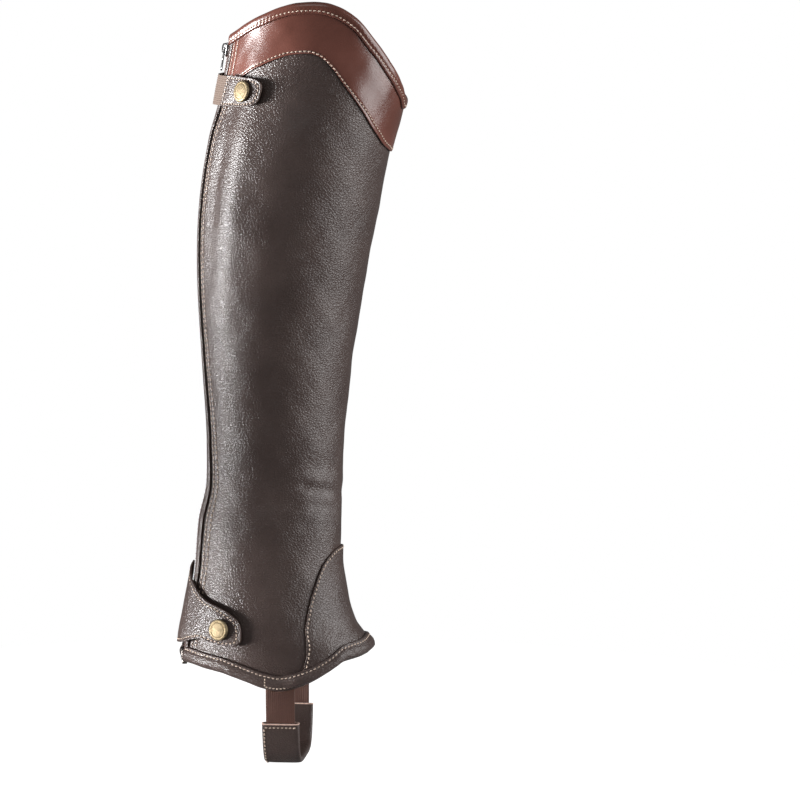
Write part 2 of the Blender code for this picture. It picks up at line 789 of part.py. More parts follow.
# ---------------------------------------------------------------- strap under the foot
def strap_path(first_step):
    """Centre points (x, z) from one side to the other, and the outward direction at each."""
    half = np.arange(first_step, STRAP[-1].step + STRAP_STEP / 2, STRAP_STEP)
    side, height = through(STRAP, "side", half), through(STRAP, "height", half)
    x = np.concatenate([side, -side[-2::-1]])
    z = np.concatenate([height, height[-2::-1]])
    along_x, along_z = np.gradient(x), np.gradient(z)
    length = np.hypot(along_x, along_z)
    return x, z, -along_z / length, along_x / length


def hem_curve(y, z):
    """How far the hem's leather curves in from the strap's middle, fading down the strap."""
    reach = (y + SECTIONS[1].ahead) / SECTIONS[1].deep
    sag = SECTIONS[1].wide * (1 - np.sqrt(1 - reach**2))
    return sag * smooth_step(z, *STRAP_FADE)


def strap_points(path, y, off):
    x, z, out_x, out_z = (value[:, None] for value in path)
    y, off = np.broadcast_arrays(y, off)
    bend = hem_curve(STRAP_MIDDLE_Y + y, z) * np.sign(x)
    depth = STRAP_MIDDLE_Y + y + 0 * x
    return np.stack([x + out_x * off - bend, depth, z + out_z * off], axis=-1)


def make_stirrup_elastic():
    path = strap_path(0.0)
    y = np.linspace(-0.5, 0.5, 4) * STRAP_WIDTH
    outer = strap_points(path, y, STRAP_WALL / 2)
    shell("stirrup_elastic", outer, strap_points(path, y, -STRAP_WALL / 2), "stirrup_elastic")


def sleeve_ring(half_width, half_wall):
    """A flat ring with round ends: distances across and off the strap's centre."""
    turns = np.linspace(0.0, 2 * np.pi, 12, endpoint=False)
    across = np.sign(np.cos(turns)) * np.abs(np.cos(turns)) ** 0.35 * half_width
    off = np.sign(np.sin(turns)) * np.abs(np.sin(turns)) ** 0.5 * half_wall
    return across, off


def make_stirrup_guard():
    path = strap_path(GUARD_START)
    channel = STRAP_WALL / 2 + GAP
    outer = strap_points(path, *sleeve_ring(GUARD_WIDTH / 2, channel + GUARD_WALL))
    inner = strap_points(path, *sleeve_ring(GUARD_WIDTH / 2 - GUARD_WALL, channel))
    shell("stirrup_guard", outer, inner, "main_leather", tube=True)


# ---------------------------------------------------------------- the whole part
def clear_scene():
    for old in list(bpy.data.objects):
        bpy.data.objects.remove(old)


def main():
    clear_scene()
    make_body_panel()
    make_gusset()
    make_collar()
    make_top_facing()
    make_top_binding()
    make_hem_binding()
    make_zip_edge_strip()
    make_zip_tapes()
    make_zip_chain()
    make_zip_slider()
    make_zip_pull()
    make_zip_box()
    lying_piece("band_elastic", BAND_ELASTIC, 3, BAND_WALL, "band_elastic")
    lying_piece("band_tab", BAND_TAB, 5, TAB_WALL, "main_leather")
    lying_piece("ankle_flap", FLAP, 8, FLAP_WALL, "main_leather", flap_flare)
    make_press_studs()
    make_stirrup_elastic()
    make_stirrup_guard()


main()
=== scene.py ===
"""Finished surfaces of a leather half chap, zipped closed and hollow, over its CAD frame.

Sizes are in millimetres until a mesh is made. A place on the leather is given by
  around  degrees from the back towards the inner side: 0 back, 90 inner, 180 front, 270 outer
  z       height
  out     distance outwards from the outer face of the body panel
Beside the zip, `along` takes the place of `around`: millimetres from the zip's centre line.
"""

import math
from collections import namedtuple

import bpy
import numpy as np
from mathutils import Matrix, Vector


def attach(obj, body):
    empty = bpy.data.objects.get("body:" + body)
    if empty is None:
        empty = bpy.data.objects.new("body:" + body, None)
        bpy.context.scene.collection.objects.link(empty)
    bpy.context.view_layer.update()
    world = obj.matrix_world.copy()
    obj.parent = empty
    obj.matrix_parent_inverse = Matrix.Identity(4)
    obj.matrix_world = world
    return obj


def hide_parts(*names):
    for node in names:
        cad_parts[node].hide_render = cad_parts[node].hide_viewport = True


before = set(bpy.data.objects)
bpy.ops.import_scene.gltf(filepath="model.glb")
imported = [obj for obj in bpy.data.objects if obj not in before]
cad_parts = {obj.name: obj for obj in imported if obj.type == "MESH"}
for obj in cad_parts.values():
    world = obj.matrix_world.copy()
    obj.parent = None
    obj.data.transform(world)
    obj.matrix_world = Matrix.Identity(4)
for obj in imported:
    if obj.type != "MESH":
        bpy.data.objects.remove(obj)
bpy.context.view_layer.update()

MM = 0.001


def table(columns, *rows):
    """A table with named columns, a row for each section, point or fold."""
    return tuple(map(namedtuple("Row", columns)._make, rows))


# ---------------------------------------------------------------- the solids' own sizes
GAP = 0.3
BODY_WALL = 1.4
COLLAR_WALL = 1.1
FACING_WALL = 1.0
STRIP_WALL = 1.2
GUSSET_GAP = 0.5
GUSSET_WALL = 1.3
FLAP_WALL = 1.4
TAB_WALL = 1.3
TAPE_WALL = 1.0
BAND_WALL = 1.1
COLLAR_FACE = GAP + COLLAR_WALL
STRIP_FACE = GAP + STRIP_WALL
GUSSET_FACE = GUSSET_GAP + GUSSET_WALL
FACING_FACE = -BODY_WALL - GAP

# The leg's form. ahead, inward: where the ring's centre lies; deep, wide: half its size.
SECTIONS = table(
    "z ahead inward deep wide",
    (-25, 6, 0, 60, 42),
    (0, 6, 0, 60, 42),
    (10, 5.5, 0, 58.5, 41.7),
    (23, 2, 0, 53.4, 40.6),
    (40, 0.7, 0, 49.4, 38.8),
    (62, 0.8, 0, 46.3, 36.7),
    (88, 1.9, 0.3, 45.5, 34.8),
    (114, 4.6, 2, 43.2, 34.3),
    (140, 5.2, 4, 43.6, 38.3),
    (192, 5.9, 7, 47.9, 43.8),
    (244, 8.4, 9, 53.5, 48.5),
    (296, 14.1, 10, 57.5, 53.3),
    (335, 21.5, 9, 58.5, 53),
    (361, 28.9, 8.5, 57.8, 49.5),
    (400, 35.2, 8, 56.5, 47.5),
    (430, 37.8, 8, 55.5, 47),
)
PEAR = 0.05  # the ring is this share wider at the back than at its middle
ZIP_LINE = table(
    "z around rise",
    (-25, -11, 3), (0, -11, 3), (90, -12, 3), (155, -10, 2),
    (220, -8, 0.6), (325, -7, 0.6), (372, -9, 3.2), (430, -11, 3.2),
)
ZIP_RISE_REACH = 11.0
# A fold or crease runs slanting, by `climb` millimetres a degree.
FOLD_COLUMNS = "around z reach height rise climb"
FOLDS = table(
    FOLD_COLUMNS,
    (324, 312, 8, 60, -2.2, 0),
    (303, 312, 9, 55, 1.3, 0),
    (222, 128, 16, 7, -1.0, 0),
    (258, 104, 20, 7, -1.1, 0),
    (300, 122, 14, 6, -0.9, 0),
    (60, 118, 18, 7, -1.1, 0),
    (128, 105, 18, 7, -1.0, 0),
)
# rim: the mouth's edge; collar: the collar's lower edge.
TOP_EDGE = table(
    "around rim collar",
    (-12, 395.5, 367.5), (35, 393, 362.5), (60, 389, 355.5), (85, 381.5, 346.5),
    (122, 372.5, 337), (150, 367, 331), (180, 363, 328), (195, 372, 331.5),
    (211, 384, 340.6), (230, 401, 355.6), (245, 414.5, 370), (257, 421, 382.7),
    (266, 423.5, 389.6), (273, 424, 391.5), (284, 423.4, 390.7), (295, 421, 387.4),
    (308, 416.5, 382), (319, 412.5, 377), (333, 407, 371), (350, 401, 366),
)
TOP_LEVEL = 390.0
COLLAR_LEVELS = (370.0, TOP_LEVEL)
FACING_LIFT = 6.0
# turn: degrees from the back, the same on both sides.
HEM = table(
    "turn z",
    (0, -2.8), (25, -3.1), (45, -4.6), (58, -6), (67, -8.4), (76, -11.3), (86, -14.8),
    (96, -16.6), (107, -14.4), (115, -11.6), (128, -5.2), (141, 1), (160, 2.6), (180, 4),
)
# Profiles of the folded edges, from the outer leg over the edge to the inner leg.
HEM_ROLL = table(
    "high out",
    (10.4, 0.35), (10.35, 1.1), (10.0, 1.55), (9.3, 1.75), (8.7, 1.62), (8.1, 1.8),
    (6.8, 2.55), (4.9, 2.95), (2.9, 2.6), (1.2, 1.5), (0.2, -0.2), (0.4, -1.5),
    (1.2, -2.4), (2.8, -2.8), (5.0, -2.85), (7.0, -2.8),
)
HEM_OUTER_LEG = 11  # so many of its points lie on the outer leg
RIM_FOLD = table(
    "high out",
    (7.4, 1.75), (7.3, 2.35), (6.9, 2.72), (6.1, 2.88), (5.5, 2.78), (4.9, 2.9),
    (3.7, 3.2), (2.4, 3.1), (1.2, 2.5), (0.35, 1.3), (0.0, -0.5), (0.3, -2.2),
    (1.3, -3.5), (2.9, -4.05), (5.0, -4.1), (7.0, -4.0),
)
FOLD_WALL = 1.0
EDGE_INSIDE = 2.3
HEM_TOP = 10.6
RIM_BOTTOM = 7.6

PANEL_EDGE = 6.0
ROUND = 338.0  # nominal length of a piece that wraps the leg
STRIP_WIDTH = 3.6
TAPE_EDGE = 13.0
TAPE_GAP = 0.4
CHAIN_HALF = 2.8
CHAIN_LOW, CHAIN_HIGH = 5.4, 390.3
TAPE_LOW, TAPE_HIGH = 6.5, 391.8
SLIDER_Z = 393.5
PULL_AXIS_OUT = 2.55
PULL_LENGTH = 14.6
PULL_HALF = 3.2
PULL_THICK = 1.0
BOX_Z = -1.6

# spread: degrees from the front.
GUSSET_EDGE = table(
    "spread z",
    (0, 73), (12, 72.7), (23, 71), (35, 65), (42, 57.5), (50, 45.4), (56, 33), (63, 17.6),
    (70, -6),
)
GUSSET_SPREAD = 69.5
GUSSET_TALL = 66.0
NOTCH_INSET = 10.0
NOTCH_DROP = 8.0

# Pieces that lie over the zip: their lower and upper edge, and how far out they lie.
LYING_COLUMNS = "along low high off"
FLAP = table(
    LYING_COLUMNS,
    (-45.6, 18.4, 21.4, 2.6),
    (-45.1, 15.6, 24.4, 2.6),
    (-43.4, 13.4, 28.0, 2.6),
    (-40.2, 12.3, 31.4, 2.7),
    (-35.6, 12.2, 34.6, 2.9),
    (-29.8, 13.2, 37.2, 3.0),
    (-22.8, 15.2, 40.0, 3.0),
    (-15.8, 13.5, 43.6, 2.7),
    (-8.5, 10.6, 49.6, 2.5),
    (0.0, 9.2, 58.0, 1.2),
    (5.6, 8.4, 62.0, 0.3),
)
FLAP_FLARE = 3.0
FLAP_FLARE_ALONG = -12.0
FLAP_FLARE_REACH = 16.0
BAND_TAB = table(
    LYING_COLUMNS,
    (-46.0, 364.0, 367.0, 3.1),
    (-45.6, 361.0, 370.0, 3.1),
    (-44.0, 358.6, 372.4, 3.1),
    (-41.0, 357.0, 374.3, 3.1),
    (-35.0, 356.3, 375.4, 3.1),
    (-29.0, 356.2, 375.8, 3.3),
    (-22.5, 356.2, 376.2, 4.4),
    (-16.3, 356.2, 376.4, 4.4),
)
BAND_ELASTIC = table(
    LYING_COLUMNS,
    (-21.5, 356.8, 375.6, 3.0),
    (-6.0, 357.2, 376.2, 3.0),
    (0.0, 357.8, 376.8, 2.6),
    (3.0, 358.4, 377.2, 1.7),
    (5.6, 359.0, 377.8, 0.4),
)
BAND_SNAP_ALONG, BAND_SNAP_Z = -34.8, 366.3
FLAP_SNAP_ALONG, FLAP_SNAP_Z = -34.8, 22.4
SNAP_SEAT = 0.6

# Half the strap's path: distance to the side, and height.
STRAP = table(
    "step side height",
    (0, 37.2, -5), (1, 37.3, -16.5), (2, 35.8, -38), (3, 33.2, -49),
    (4, 29, -59), (5, 23, -64), (6, 12, -65.5), (7, 0, -65.6),
)
STRAP_STEP = 0.125
STRAP_MIDDLE_Y = -12.2
STRAP_WIDTH = 18.6
STRAP_WALL = 1.6
GUARD_START = 2
GUARD_WIDTH = 24.0
GUARD_WALL = 1.2
GUARD_FACE = STRAP_WALL / 2 + GAP + GUARD_WALL
STRAP_FADE = (-54.0, -18.0)

# ---------------------------------------------------------------- sewing
ZIP_PITCH = 3.15
EDGE_PITCH = 2.8
TAB_PITCH = 2.6
BOX_PITCH = 2.3
GUARD_PITCH = 2.7
STITCH_LONG = 0.64  # share of the pitch that a stitch shows
THREAD_HALF = 0.42
THREAD_SUNK = 0.06
SLANT = 0.16
INNER_ROWS = (8.0, 11.3)  # along the zip, on its inner side
OUTER_ROWS = (-11.8, -15.3)
COLLAR_ROW = 1.5
TAB_ROW = 1.7
FLAP_ROW = 2.0
GUSSET_ROW = 1.3
HEM_ROW = 8.7  # above the hem's edge
RIM_ROW = 5.5
GROOVE, GROOVE_HALF = 0.22, 0.55
RIDGE, RIDGE_HALF = 0.25, 0.9  # the leather puffs up between two rows
EDGE_ROUND = 0.42
SIDE_STEP = 1.9

# ---------------------------------------------------------------- camera and stage
CAMERA_AZIMUTH = -82.0
CAMERA_AWAY = 2.6
CAMERA_HEIGHT = 0.461
FRAME_WIDE = 0.518  # metres that the frame shows across at the leg's axis
FRAME_AIM_RIGHT, FRAME_AIM_UP = 0.0853, 0.1667
SENSOR = 36.0
FLOOR_Z = -0.075
FLOOR_RADIUS = 0.5
FLOOR_GLOW = 0.95  # keeps the floor near white under the soft shadow
ROOM_LIGHT = 0.14


def aimed(name, data, place, aim):
    """A camera or a lamp at a place, looking at another."""
    made = bpy.data.objects.new(name, data)
    made.location = place
    made.rotation_euler = (Vector(aim) - Vector(place)).to_track_quat("-Z", "Y").to_euler()
    bpy.context.scene.collection.objects.link(made)
    return made


def make_camera():
    angle = math.radians(CAMERA_AZIMUTH)
    eye = Vector((math.sin(angle), -math.cos(angle), 0)) * CAMERA_AWAY
    eye.z = CAMERA_HEIGHT
    right = Vector((math.cos(angle), math.sin(angle), 0))
    aim = right * FRAME_AIM_RIGHT + Vector((0, 0, FRAME_AIM_UP))
    data = bpy.data.cameras.new("camera")
    data.sensor_width = SENSOR
    data.lens = SENSOR * (aim - eye).length / FRAME_WIDE
    bpy.context.scene.camera = aimed("camera", data, eye, aim)


make_camera()


# ---------------------------------------------------------------- curves
def through(rows, column, at):
    """A smooth curve through one column of a table, read at the first column's values."""
    keys = np.array([row[0] for row in rows], float)
    values = np.array([getattr(row, column) for row in rows], float)
    step = np.diff(keys)
    rise = np.diff(values) / step
    onward = rise[:-1] * rise[1:] > 0
    both = np.where(onward, rise[:-1] + rise[1:], 1.0)
    slope = np.where(onward, 2 * rise[:-1] * rise[1:] / both, 0.0)
    slope = np.concatenate([rise[:1], slope, rise[-1:]])
    at = np.asarray(at, float)
    i = np.clip(np.searchsorted(keys, at) - 1, 0, len(step) - 1)
    t = np.clip((at - keys[i]) / step[i], 0.0, 1.0)
    start = (1 + 2 * t) * (1 - t) ** 2 * values[i] + t * (1 - t) ** 2 * step[i] * slope[i]
    end = t * t * (3 - 2 * t) * values[i + 1] - t * t * (1 - t) * step[i] * slope[i + 1]
    return start + end


def smooth_step(value, low, high):
    share = np.clip((value - low) / (high - low), 0.0, 1.0)
    return share * share * (3 - 2 * share)


def bell(distance, half):
    return np.exp(-((distance / half) ** 2))


def wrapped(degrees):
    return (degrees + 180.0) % 360.0 - 180.0


def full_turn(count):
    return np.linspace(0, 2 * np.pi, count, endpoint=False)


def unit(vectors):
    return vectors / np.linalg.norm(vectors, axis=-1, keepdims=True)


def run_along(path):
    """The length along a path up to each of its points."""
    return np.concatenate([[0.0], np.cumsum(np.linalg.norm(np.diff(path, axis=0), axis=1))])


def squarish(turn, power):
    """The cosine of a turn, flattened so that a ring gets round-cornered sides."""
    return np.sign(np.cos(turn)) * np.abs(np.cos(turn)) ** power


# ---------------------------------------------------------------- the leather's surface
def beside_zip(along, z):
    return through(ZIP_LINE, "around", z) + np.degrees(along / through(SECTIONS, "wide", z))


def from_zip(around, z):
    turn = wrapped(around - through(ZIP_LINE, "around", z))
    return np.radians(turn) * through(SECTIONS, "wide", z)


def folds(rows, around, z):
    total = 0.0
    for fold in rows:
        turn = wrapped(around - fold.around)
        upwards = (z - fold.z - turn * fold.climb) / fold.height
        total = total + fold.rise * np.exp(-((turn / fold.reach) ** 2) - upwards**2)
    return total


# Softer creases that the solids leave out.
CREASES = table(
    FOLD_COLUMNS,
    (222, 112, 26, 3.0, -0.85, 0.14),
    (226, 118, 24, 3.2, 0.55, 0.16),
    (214, 100, 18, 2.6, -0.55, 0.10),
    (246, 92, 22, 3.2, -0.50, 0.12),
    (255, 138, 20, 4.0, -0.35, -0.10),
    (285, 100, 22, 4.0, -0.40, -0.08),
    (312, 128, 16, 4.0, -0.45, -0.12),
    (196, 124, 16, 3.6, -0.45, 0.05),
    (158, 110, 20, 3.2, -0.70, -0.12),
    (150, 118, 18, 3.4, 0.45, -0.14),
    (120, 128, 22, 4.0, -0.45, -0.10),
    (88, 104, 22, 3.6, -0.55, 0.10),
    (70, 132, 20, 4.4, -0.40, 0.12),
    (36, 112, 14, 4.0, -0.50, 0.14),
    (205, 330, 9, 28, -0.45, 0),
    (292, 236, 12, 46, -0.50, 0),
    (342, 205, 8, 60, -0.35, 0),
    (112, 296, 14, 36, 0.55, 0),
    (60, 250, 16, 52, -0.55, 0),
    (150, 220, 12, 46, -0.40, 0),
    (75, 330, 12, 20, -0.50, 0),
)
UNEVEN = table(
    "turns height size shift",
    (5, 61.0, 0.16, 0.4),
    (8, -43.0, 0.12, 1.9),
    (13, 34.0, 0.08, 4.1),
    (19, -22.0, 0.05, 2.6),
    (29, 15.0, 0.03, 5.2),
)


def creases(around, z):
    """Fine creases and a slight unevenness, flat again beside the stiff zip."""
    total = folds(CREASES, around, z)
    for wave in UNEVEN:
        total = total + wave.size * np.sin(
            np.radians(around) * wave.turns + 2 * np.pi * z / wave.height + wave.shift
        )
    return total * smooth_step(np.abs(from_zip(around, z)), 9.0, 26.0)


def leather(around, z):
    """Points of the body panel's outer face."""
    around, z = np.broadcast_arrays(np.asarray(around, float), np.asarray(z, float))
    angle = np.radians(around)
    keel = through(ZIP_LINE, "rise", z) * bell(from_zip(around, z), ZIP_RISE_REACH)
    lift = keel + folds(FOLDS, around, z) + creases(around, z)
    wide = through(SECTIONS, "wide", z) * (1 + PEAR * np.cos(angle)) + lift
    deep = through(SECTIONS, "deep", z) + lift
    x = through(SECTIONS, "inward", z) + wide * np.sin(angle)
    y = -through(SECTIONS, "ahead", z) + deep * np.cos(angle)
    return np.stack([x, y, z], axis=-1)


def outward(around, z):
    turn, rise = 0.5, 0.5
    sideways = leather(around + turn, z) - leather(around - turn, z)
    upwards = leather(around, z + rise) - leather(around, z - rise)
    return unit(np.cross(upwards, sideways))


def skin(around, z, out):
    """Points at a distance out from the body panel's outer face."""
    around, z, out = np.broadcast_arrays(around, z, out)
    return leather(around, z) + outward(around, z) * out[..., None]


def on_leather(around, z, out):
    """Points on the leather with their outward directions."""
    around, z, out = np.broadcast_arrays(np.asarray(around, float), z, out)
    return skin(around, z, out), outward(around, z)


def from_front(around):
    return np.abs(wrapped(around - 180.0))


def hem(around):
    return through(HEM, "z", np.abs(wrapped(around)))


def below_rim(around, drop=EDGE_INSIDE):
    turn = 1.0
    climb = through(TOP_EDGE, "rim", around + turn) - through(TOP_EDGE, "rim", around - turn)
    run = leather(around + turn, TOP_LEVEL) - leather(around - turn, TOP_LEVEL)
    slope = climb / np.linalg.norm(run, axis=-1)
    return through(TOP_EDGE, "rim", around) - drop * np.sqrt(1 + slope**2)


def collar_low(around):
    return through(TOP_EDGE, "collar", around)


def gusset_edge(around):
    return through(GUSSET_EDGE, "z", from_front(around))


def body_low(around):
    notch = through(GUSSET_EDGE, "z", from_front(around) + NOTCH_INSET) - NOTCH_DROP
    return np.maximum(hem(around) + EDGE_INSIDE, notch)


def over_gusset(around):
    past = smooth_step(from_front(around), GUSSET_SPREAD + 3, GUSSET_SPREAD + 13)
    return GUSSET_FACE * (1 - past)


# ---------------------------------------------------------------- materials
class Finish:
    """A material's nodes, and the slot that pieces of this finish take."""

    def __init__(self, name, slot=None):
        self.material = bpy.data.materials.new(name)
        self.material.use_nodes = True
        self.tree = self.material.node_tree
        self.shader = self.tree.nodes["Principled BSDF"]
        self.slot = slot

    def feed(self, node, inputs):
        """Sets a node's inputs, each to a value or to another node's output."""
        for key, value in inputs.items():
            if isinstance(value, bpy.types.NodeSocket):
                self.tree.links.new(value, node.inputs[key])
            else:
                node.inputs[key].default_value = value
        return node

    def add(self, kind, inputs, **settings):
        made = self.tree.nodes.new(f"ShaderNode{kind}")
        for key, value in settings.items():
            setattr(made, key, value)
        return self.feed(made, inputs)

    def place(self, scale=(1.0, 1.0, 1.0)):
        """Object coordinates in metres, stretched by scale."""
        where = self.add("TexCoord", {}).outputs["Object"]
        return self.add("Mapping", {"Vector": where, "Scale": scale}).outputs["Vector"]

    def noise(self, place, scale, detail=3.0):
        inputs = {"Vector": place, "Scale": scale, "Detail": detail}
        return self.add("TexNoise", inputs).outputs

    def ramp(self, value, *stops):
        made = self.add("ValToRGB", {"Fac": value})
        ends = made.color_ramp.elements
        while len(ends) < len(stops):
            ends.new(0.5)
        for end, (at, colour) in zip(ends, stops):
            end.position = at
            end.color = (*colour, 1.0)
        return made.outputs["Color"]

    def sum(self, operation, *values):
        return self.add("Math", dict(enumerate(values)), operation=operation).outputs[0]

    def bump(self, height, depth_mm, strength, **below):
        inputs = {"Height": height, "Distance": depth_mm * MM, "Strength": strength, **below}
        return self.add("Bump", inputs).outputs["Normal"]


def leather_finish(name, slot, dark, light, roughness, grain_mm, depth_mm, strength, coat,
                   crease_shade):
    made = Finish(name, slot)
    place = made.place((1.0, 1.0, 1.35))
    bend = made.noise(place, 160.0, 2.0)["Color"]
    shifted = made.add("VectorMath", {0: bend, 1: (0.0009,) * 3, 2: place},
                       operation="MULTIPLY_ADD").outputs[0]
    grain = made.add("TexVoronoi", {"Vector": shifted, "Scale": 1000.0 / grain_mm, "Detail": 2.0},
                     feature="DISTANCE_TO_EDGE").outputs["Distance"]
    pebble = made.ramp(grain, (0.0, (0, 0, 0)), (0.12, (0.34,) * 3), (0.45, (1, 1, 1)))
    fine = made.noise(place, 1900.0)["Fac"]
    tone = made.ramp(made.noise(place, 22.0, 4.0)["Fac"], (0.34, dark), (0.66, light))
    shade = made.ramp(grain, (0.0, (crease_shade,) * 3), (0.2, (1, 1, 1)))
    colour = made.add("Mix", {"Factor": 1.0, 6: tone, 7: shade}, data_type="RGBA",
                      blend_type="MULTIPLY").outputs[2]
    uneven = made.sum("MULTIPLY", made.noise(place, 90.0)["Fac"], 0.06)
    made.feed(made.shader, {
        "Base Color": colour,
        "Roughness": made.sum("ADD", uneven, roughness - 0.03),
        "Normal": made.bump(pebble, depth_mm, strength,
                            Normal=made.bump(fine, 0.08, 0.5 * strength)),
        "Specular IOR Level": 0.5,
        "Coat Weight": coat,
        "Coat Roughness": 0.22,
    })
    return made


def plain_finish(name, colour, roughness, metallic=0.0, spread=0.12, scale=400.0, depth_mm=0.05,
                 strength=0.3, slot=None):
    made = Finish(name, slot)
    noise = made.noise(made.place(), scale)["Fac"]
    made.feed(made.shader, {
        "Base Color": made.ramp(noise, (0.3, tuple(c * (1 - spread) for c in colour)),
                                (0.7, tuple(min(1.0, c * (1 + spread)) for c in colour))),
        "Roughness": roughness,
        "Metallic": metallic,
        "Normal": made.bump(noise, depth_mm, strength),
    })
    return made


def woven_finish(name, slot, dark, light, roughness, across_mm, up_mm):
    """A weave in UV millimetres: u across the band, v along it."""
    made = Finish(name, slot)
    where = made.add("TexCoord", {}).outputs
    parts = made.add("SeparateXYZ", {0: where["UV"]}).outputs
    waves = [made.sum("SINE", made.sum("MULTIPLY", part, 1000.0 * 2 * math.pi / pitch))
             for part, pitch in zip(parts, (across_mm, up_mm))]
    height = made.sum("MULTIPLY_ADD", made.sum("MULTIPLY", *waves), 0.5, 0.5)
    fuzz = made.sum("MULTIPLY", made.noise(where["Object"], 700.0)["Fac"], 0.5)
    level = made.sum("MULTIPLY_ADD", height, 0.5, fuzz)
    made.feed(made.shader, {
        "Base Color": made.ramp(level, (0.2, dark), (0.8, light)),
        "Roughness": roughness,
        "Sheen Weight": 0.25,
        "Sheen Roughness": 0.4,
        "Normal": made.bump(level, 0.18, 0.6),
    })
    return made


MAIN = leather_finish("main_leather_grain", "main_leather", (0.050, 0.032, 0.028),
                      (0.072, 0.049, 0.043), 0.30, 2.0, 0.34, 1.0, 0.0, 0.90)
TRIM = leather_finish("trim_leather_smooth", "trim_leather", (0.100, 0.034, 0.024),
                      (0.160, 0.058, 0.043), 0.22, 1.4, 0.10, 0.6, 0.12, 0.95)
CUT_EDGE = plain_finish("leather_cut_edge", (0.040, 0.024, 0.019), 0.6)
RAW_EDGE = plain_finish("leather_raw_edge", (0.150, 0.105, 0.088), 0.55, spread=0.25)
FLESH = plain_finish("leather_flesh_side", (0.095, 0.062, 0.048), 0.9, scale=900.0,
                     depth_mm=0.15, strength=0.6)
THREAD = plain_finish("sewing_thread", (0.520, 0.405, 0.325), 0.6, scale=1500.0,
                      depth_mm=0.08, strength=0.6)
# near-black discs sunk at each needle hole: painted shade in place of the shade inside the holes
HOLE_SHADE = plain_finish("needle_hole_painted_shade", (0.020, 0.012, 0.010), 0.8)
ELASTIC = woven_finish("band_elastic_weave", "band_elastic", (0.078, 0.048, 0.033),
                       (0.135, 0.086, 0.062), 0.75, 1.1, 1.0)
STRAP_WEAVE = woven_finish("strap_elastic_weave", "stirrup_elastic", (0.058, 0.020, 0.012),
                           (0.098, 0.037, 0.023), 0.75, 1.1, 1.0)
TAPE = woven_finish("zip_tape_weave", "zip_tape", (0.022, 0.013, 0.011),
                    (0.048, 0.030, 0.026), 0.85, 1.2, 0.8)
TEETH = plain_finish("zip_coil", (0.120, 0.062, 0.054), 0.30, spread=0.2, slot="zip_teeth")
NICKEL = plain_finish("nickel_plate", (0.52, 0.51, 0.51), 0.18, 1.0, spread=0.06, strength=0.08,
                      slot="nickel")
GUNMETAL = plain_finish("zip_box_metal", (0.20, 0.18, 0.165), 0.35, 1.0, spread=0.15,
                        slot="nickel")
# the sleeve's rolled edges: partly their pale natural edge, partly painted highlight of the light
# that the fold catches
PALE_EDGE_AND_HIGHLIGHT = plain_finish("pale_rolled_edge_painted_highlight", (0.62, 0.43, 0.36), 0.45, spread=0.15, scale=500.0,
                         slot="main_leather")
BRASS = plain_finish("brass_cap", (0.200, 0.158, 0.098), 0.58, 1.0, spread=0.35, scale=700.0,
                     slot="brass")
BRASS_DARK = plain_finish("brass_recess", (0.12, 0.085, 0.045), 0.55, 1.0, spread=0.3)


# ---------------------------------------------------------------- meshes
def strip_faces(rows, columns, start=0, close=False):
    """Quads of a grid of points whose rows go up and whose columns go towards +around."""
    row = np.arange(rows - 1)[:, None]
    column = np.arange(columns if close else columns - 1)[None, :]
    here = start + row * columns + column
    beside = start + row * columns + (column + 1) % columns
    return np.stack([here, here + columns, beside + columns, beside], -1).reshape(-1, 4)


def add_piece(name, points, faces, finishes, kinds, uv=None, body="chap", flat=40, trim=False):
    """A mesh in place of the node of its name less the last word; trim has no node."""
    mesh = bpy.data.meshes.new(name)
    mesh.from_pydata((np.asarray(points) * MM).tolist(), [], [list(f) for f in faces])
    for finish in finishes:
        mesh.materials.append(finish.material)
    mesh.polygons.foreach_set("material_index", np.asarray(kinds, np.int32))
    if uv is not None:
        layer = mesh.uv_layers.new(name="cloth")
        corner = np.empty(len(mesh.loops), np.int32)
        mesh.loops.foreach_get("vertex_index", corner)
        layer.data.foreach_set("uv", (np.asarray(uv) * MM)[corner].ravel())
    mesh.shade_smooth()
    mesh.set_sharp_from_angle(angle=math.radians(flat))
    mesh.update()
    made = bpy.data.objects.new(name, mesh)
    bpy.context.scene.collection.objects.link(made)
    if not trim:
        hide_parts(name.rsplit("_", 1)[0])
    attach(made, body)
    return made


def joined_piece(name, shapes, finishes, **settings):
    """One piece of several pairs of points and faces, which take the finishes in turn."""
    points, faces, kinds = [], [], []
    for number, (shape, sides) in enumerate(shapes):
        faces += [[len(points) + v for v in side] for side in sides]
        points += shape if isinstance(shape, list) else shape.tolist()
        kinds += [number % len(finishes)] * len(sides)
    return add_piece(name, points, faces, finishes, kinds, **settings)


def stamped(places, axes, form, faces):
    """The same form at each place: its points are distances along the three axes."""
    points = places[:, None] + np.einsum("fk,pkc->pfc", np.array(form), np.stack(axes, 1))
    shift = len(form) * np.arange(len(places))[:, None, None]
    return points.reshape(-1, 3), (faces[None] + shift).reshape(-1, 4).tolist()


def closed_wall(name, finish, outer, inner, inside=FLESH, edge=CUT_EDGE, uv=None, close=False):
    """A wall between two grids of points, closed along its edges."""
    rows, columns = outer.shape[:2]
    count = rows * columns
    grid = np.arange(count).reshape(rows, columns)

    def rim(path, forwards):
        a, b = (path, np.roll(path, -1)) if close else (path[:-1], path[1:])
        return np.stack((a, b, b + count, a + count) if forwards
                        else (a, a + count, b + count, b), -1)

    rims = [rim(grid[0], True), rim(grid[-1], False)]
    if not close:
        rims += [rim(grid[:, 0], False), rim(grid[:, -1], True)]
    front = strip_faces(rows, columns, 0, close)
    back = strip_faces(rows, columns, count, close)[:, ::-1]
    faces = np.concatenate([front, back, *rims])
    kinds = np.repeat([0, 2, 1], [len(front), len(back), len(faces) - 2 * len(front)])
    points = np.concatenate([outer.reshape(-1, 3), inner.reshape(-1, 3)])
    if uv is not None:
        uv = np.concatenate([uv.reshape(-1, 2)] * 2)
    return add_piece(name, points, faces, (finish, edge, inside), kinds, uv)


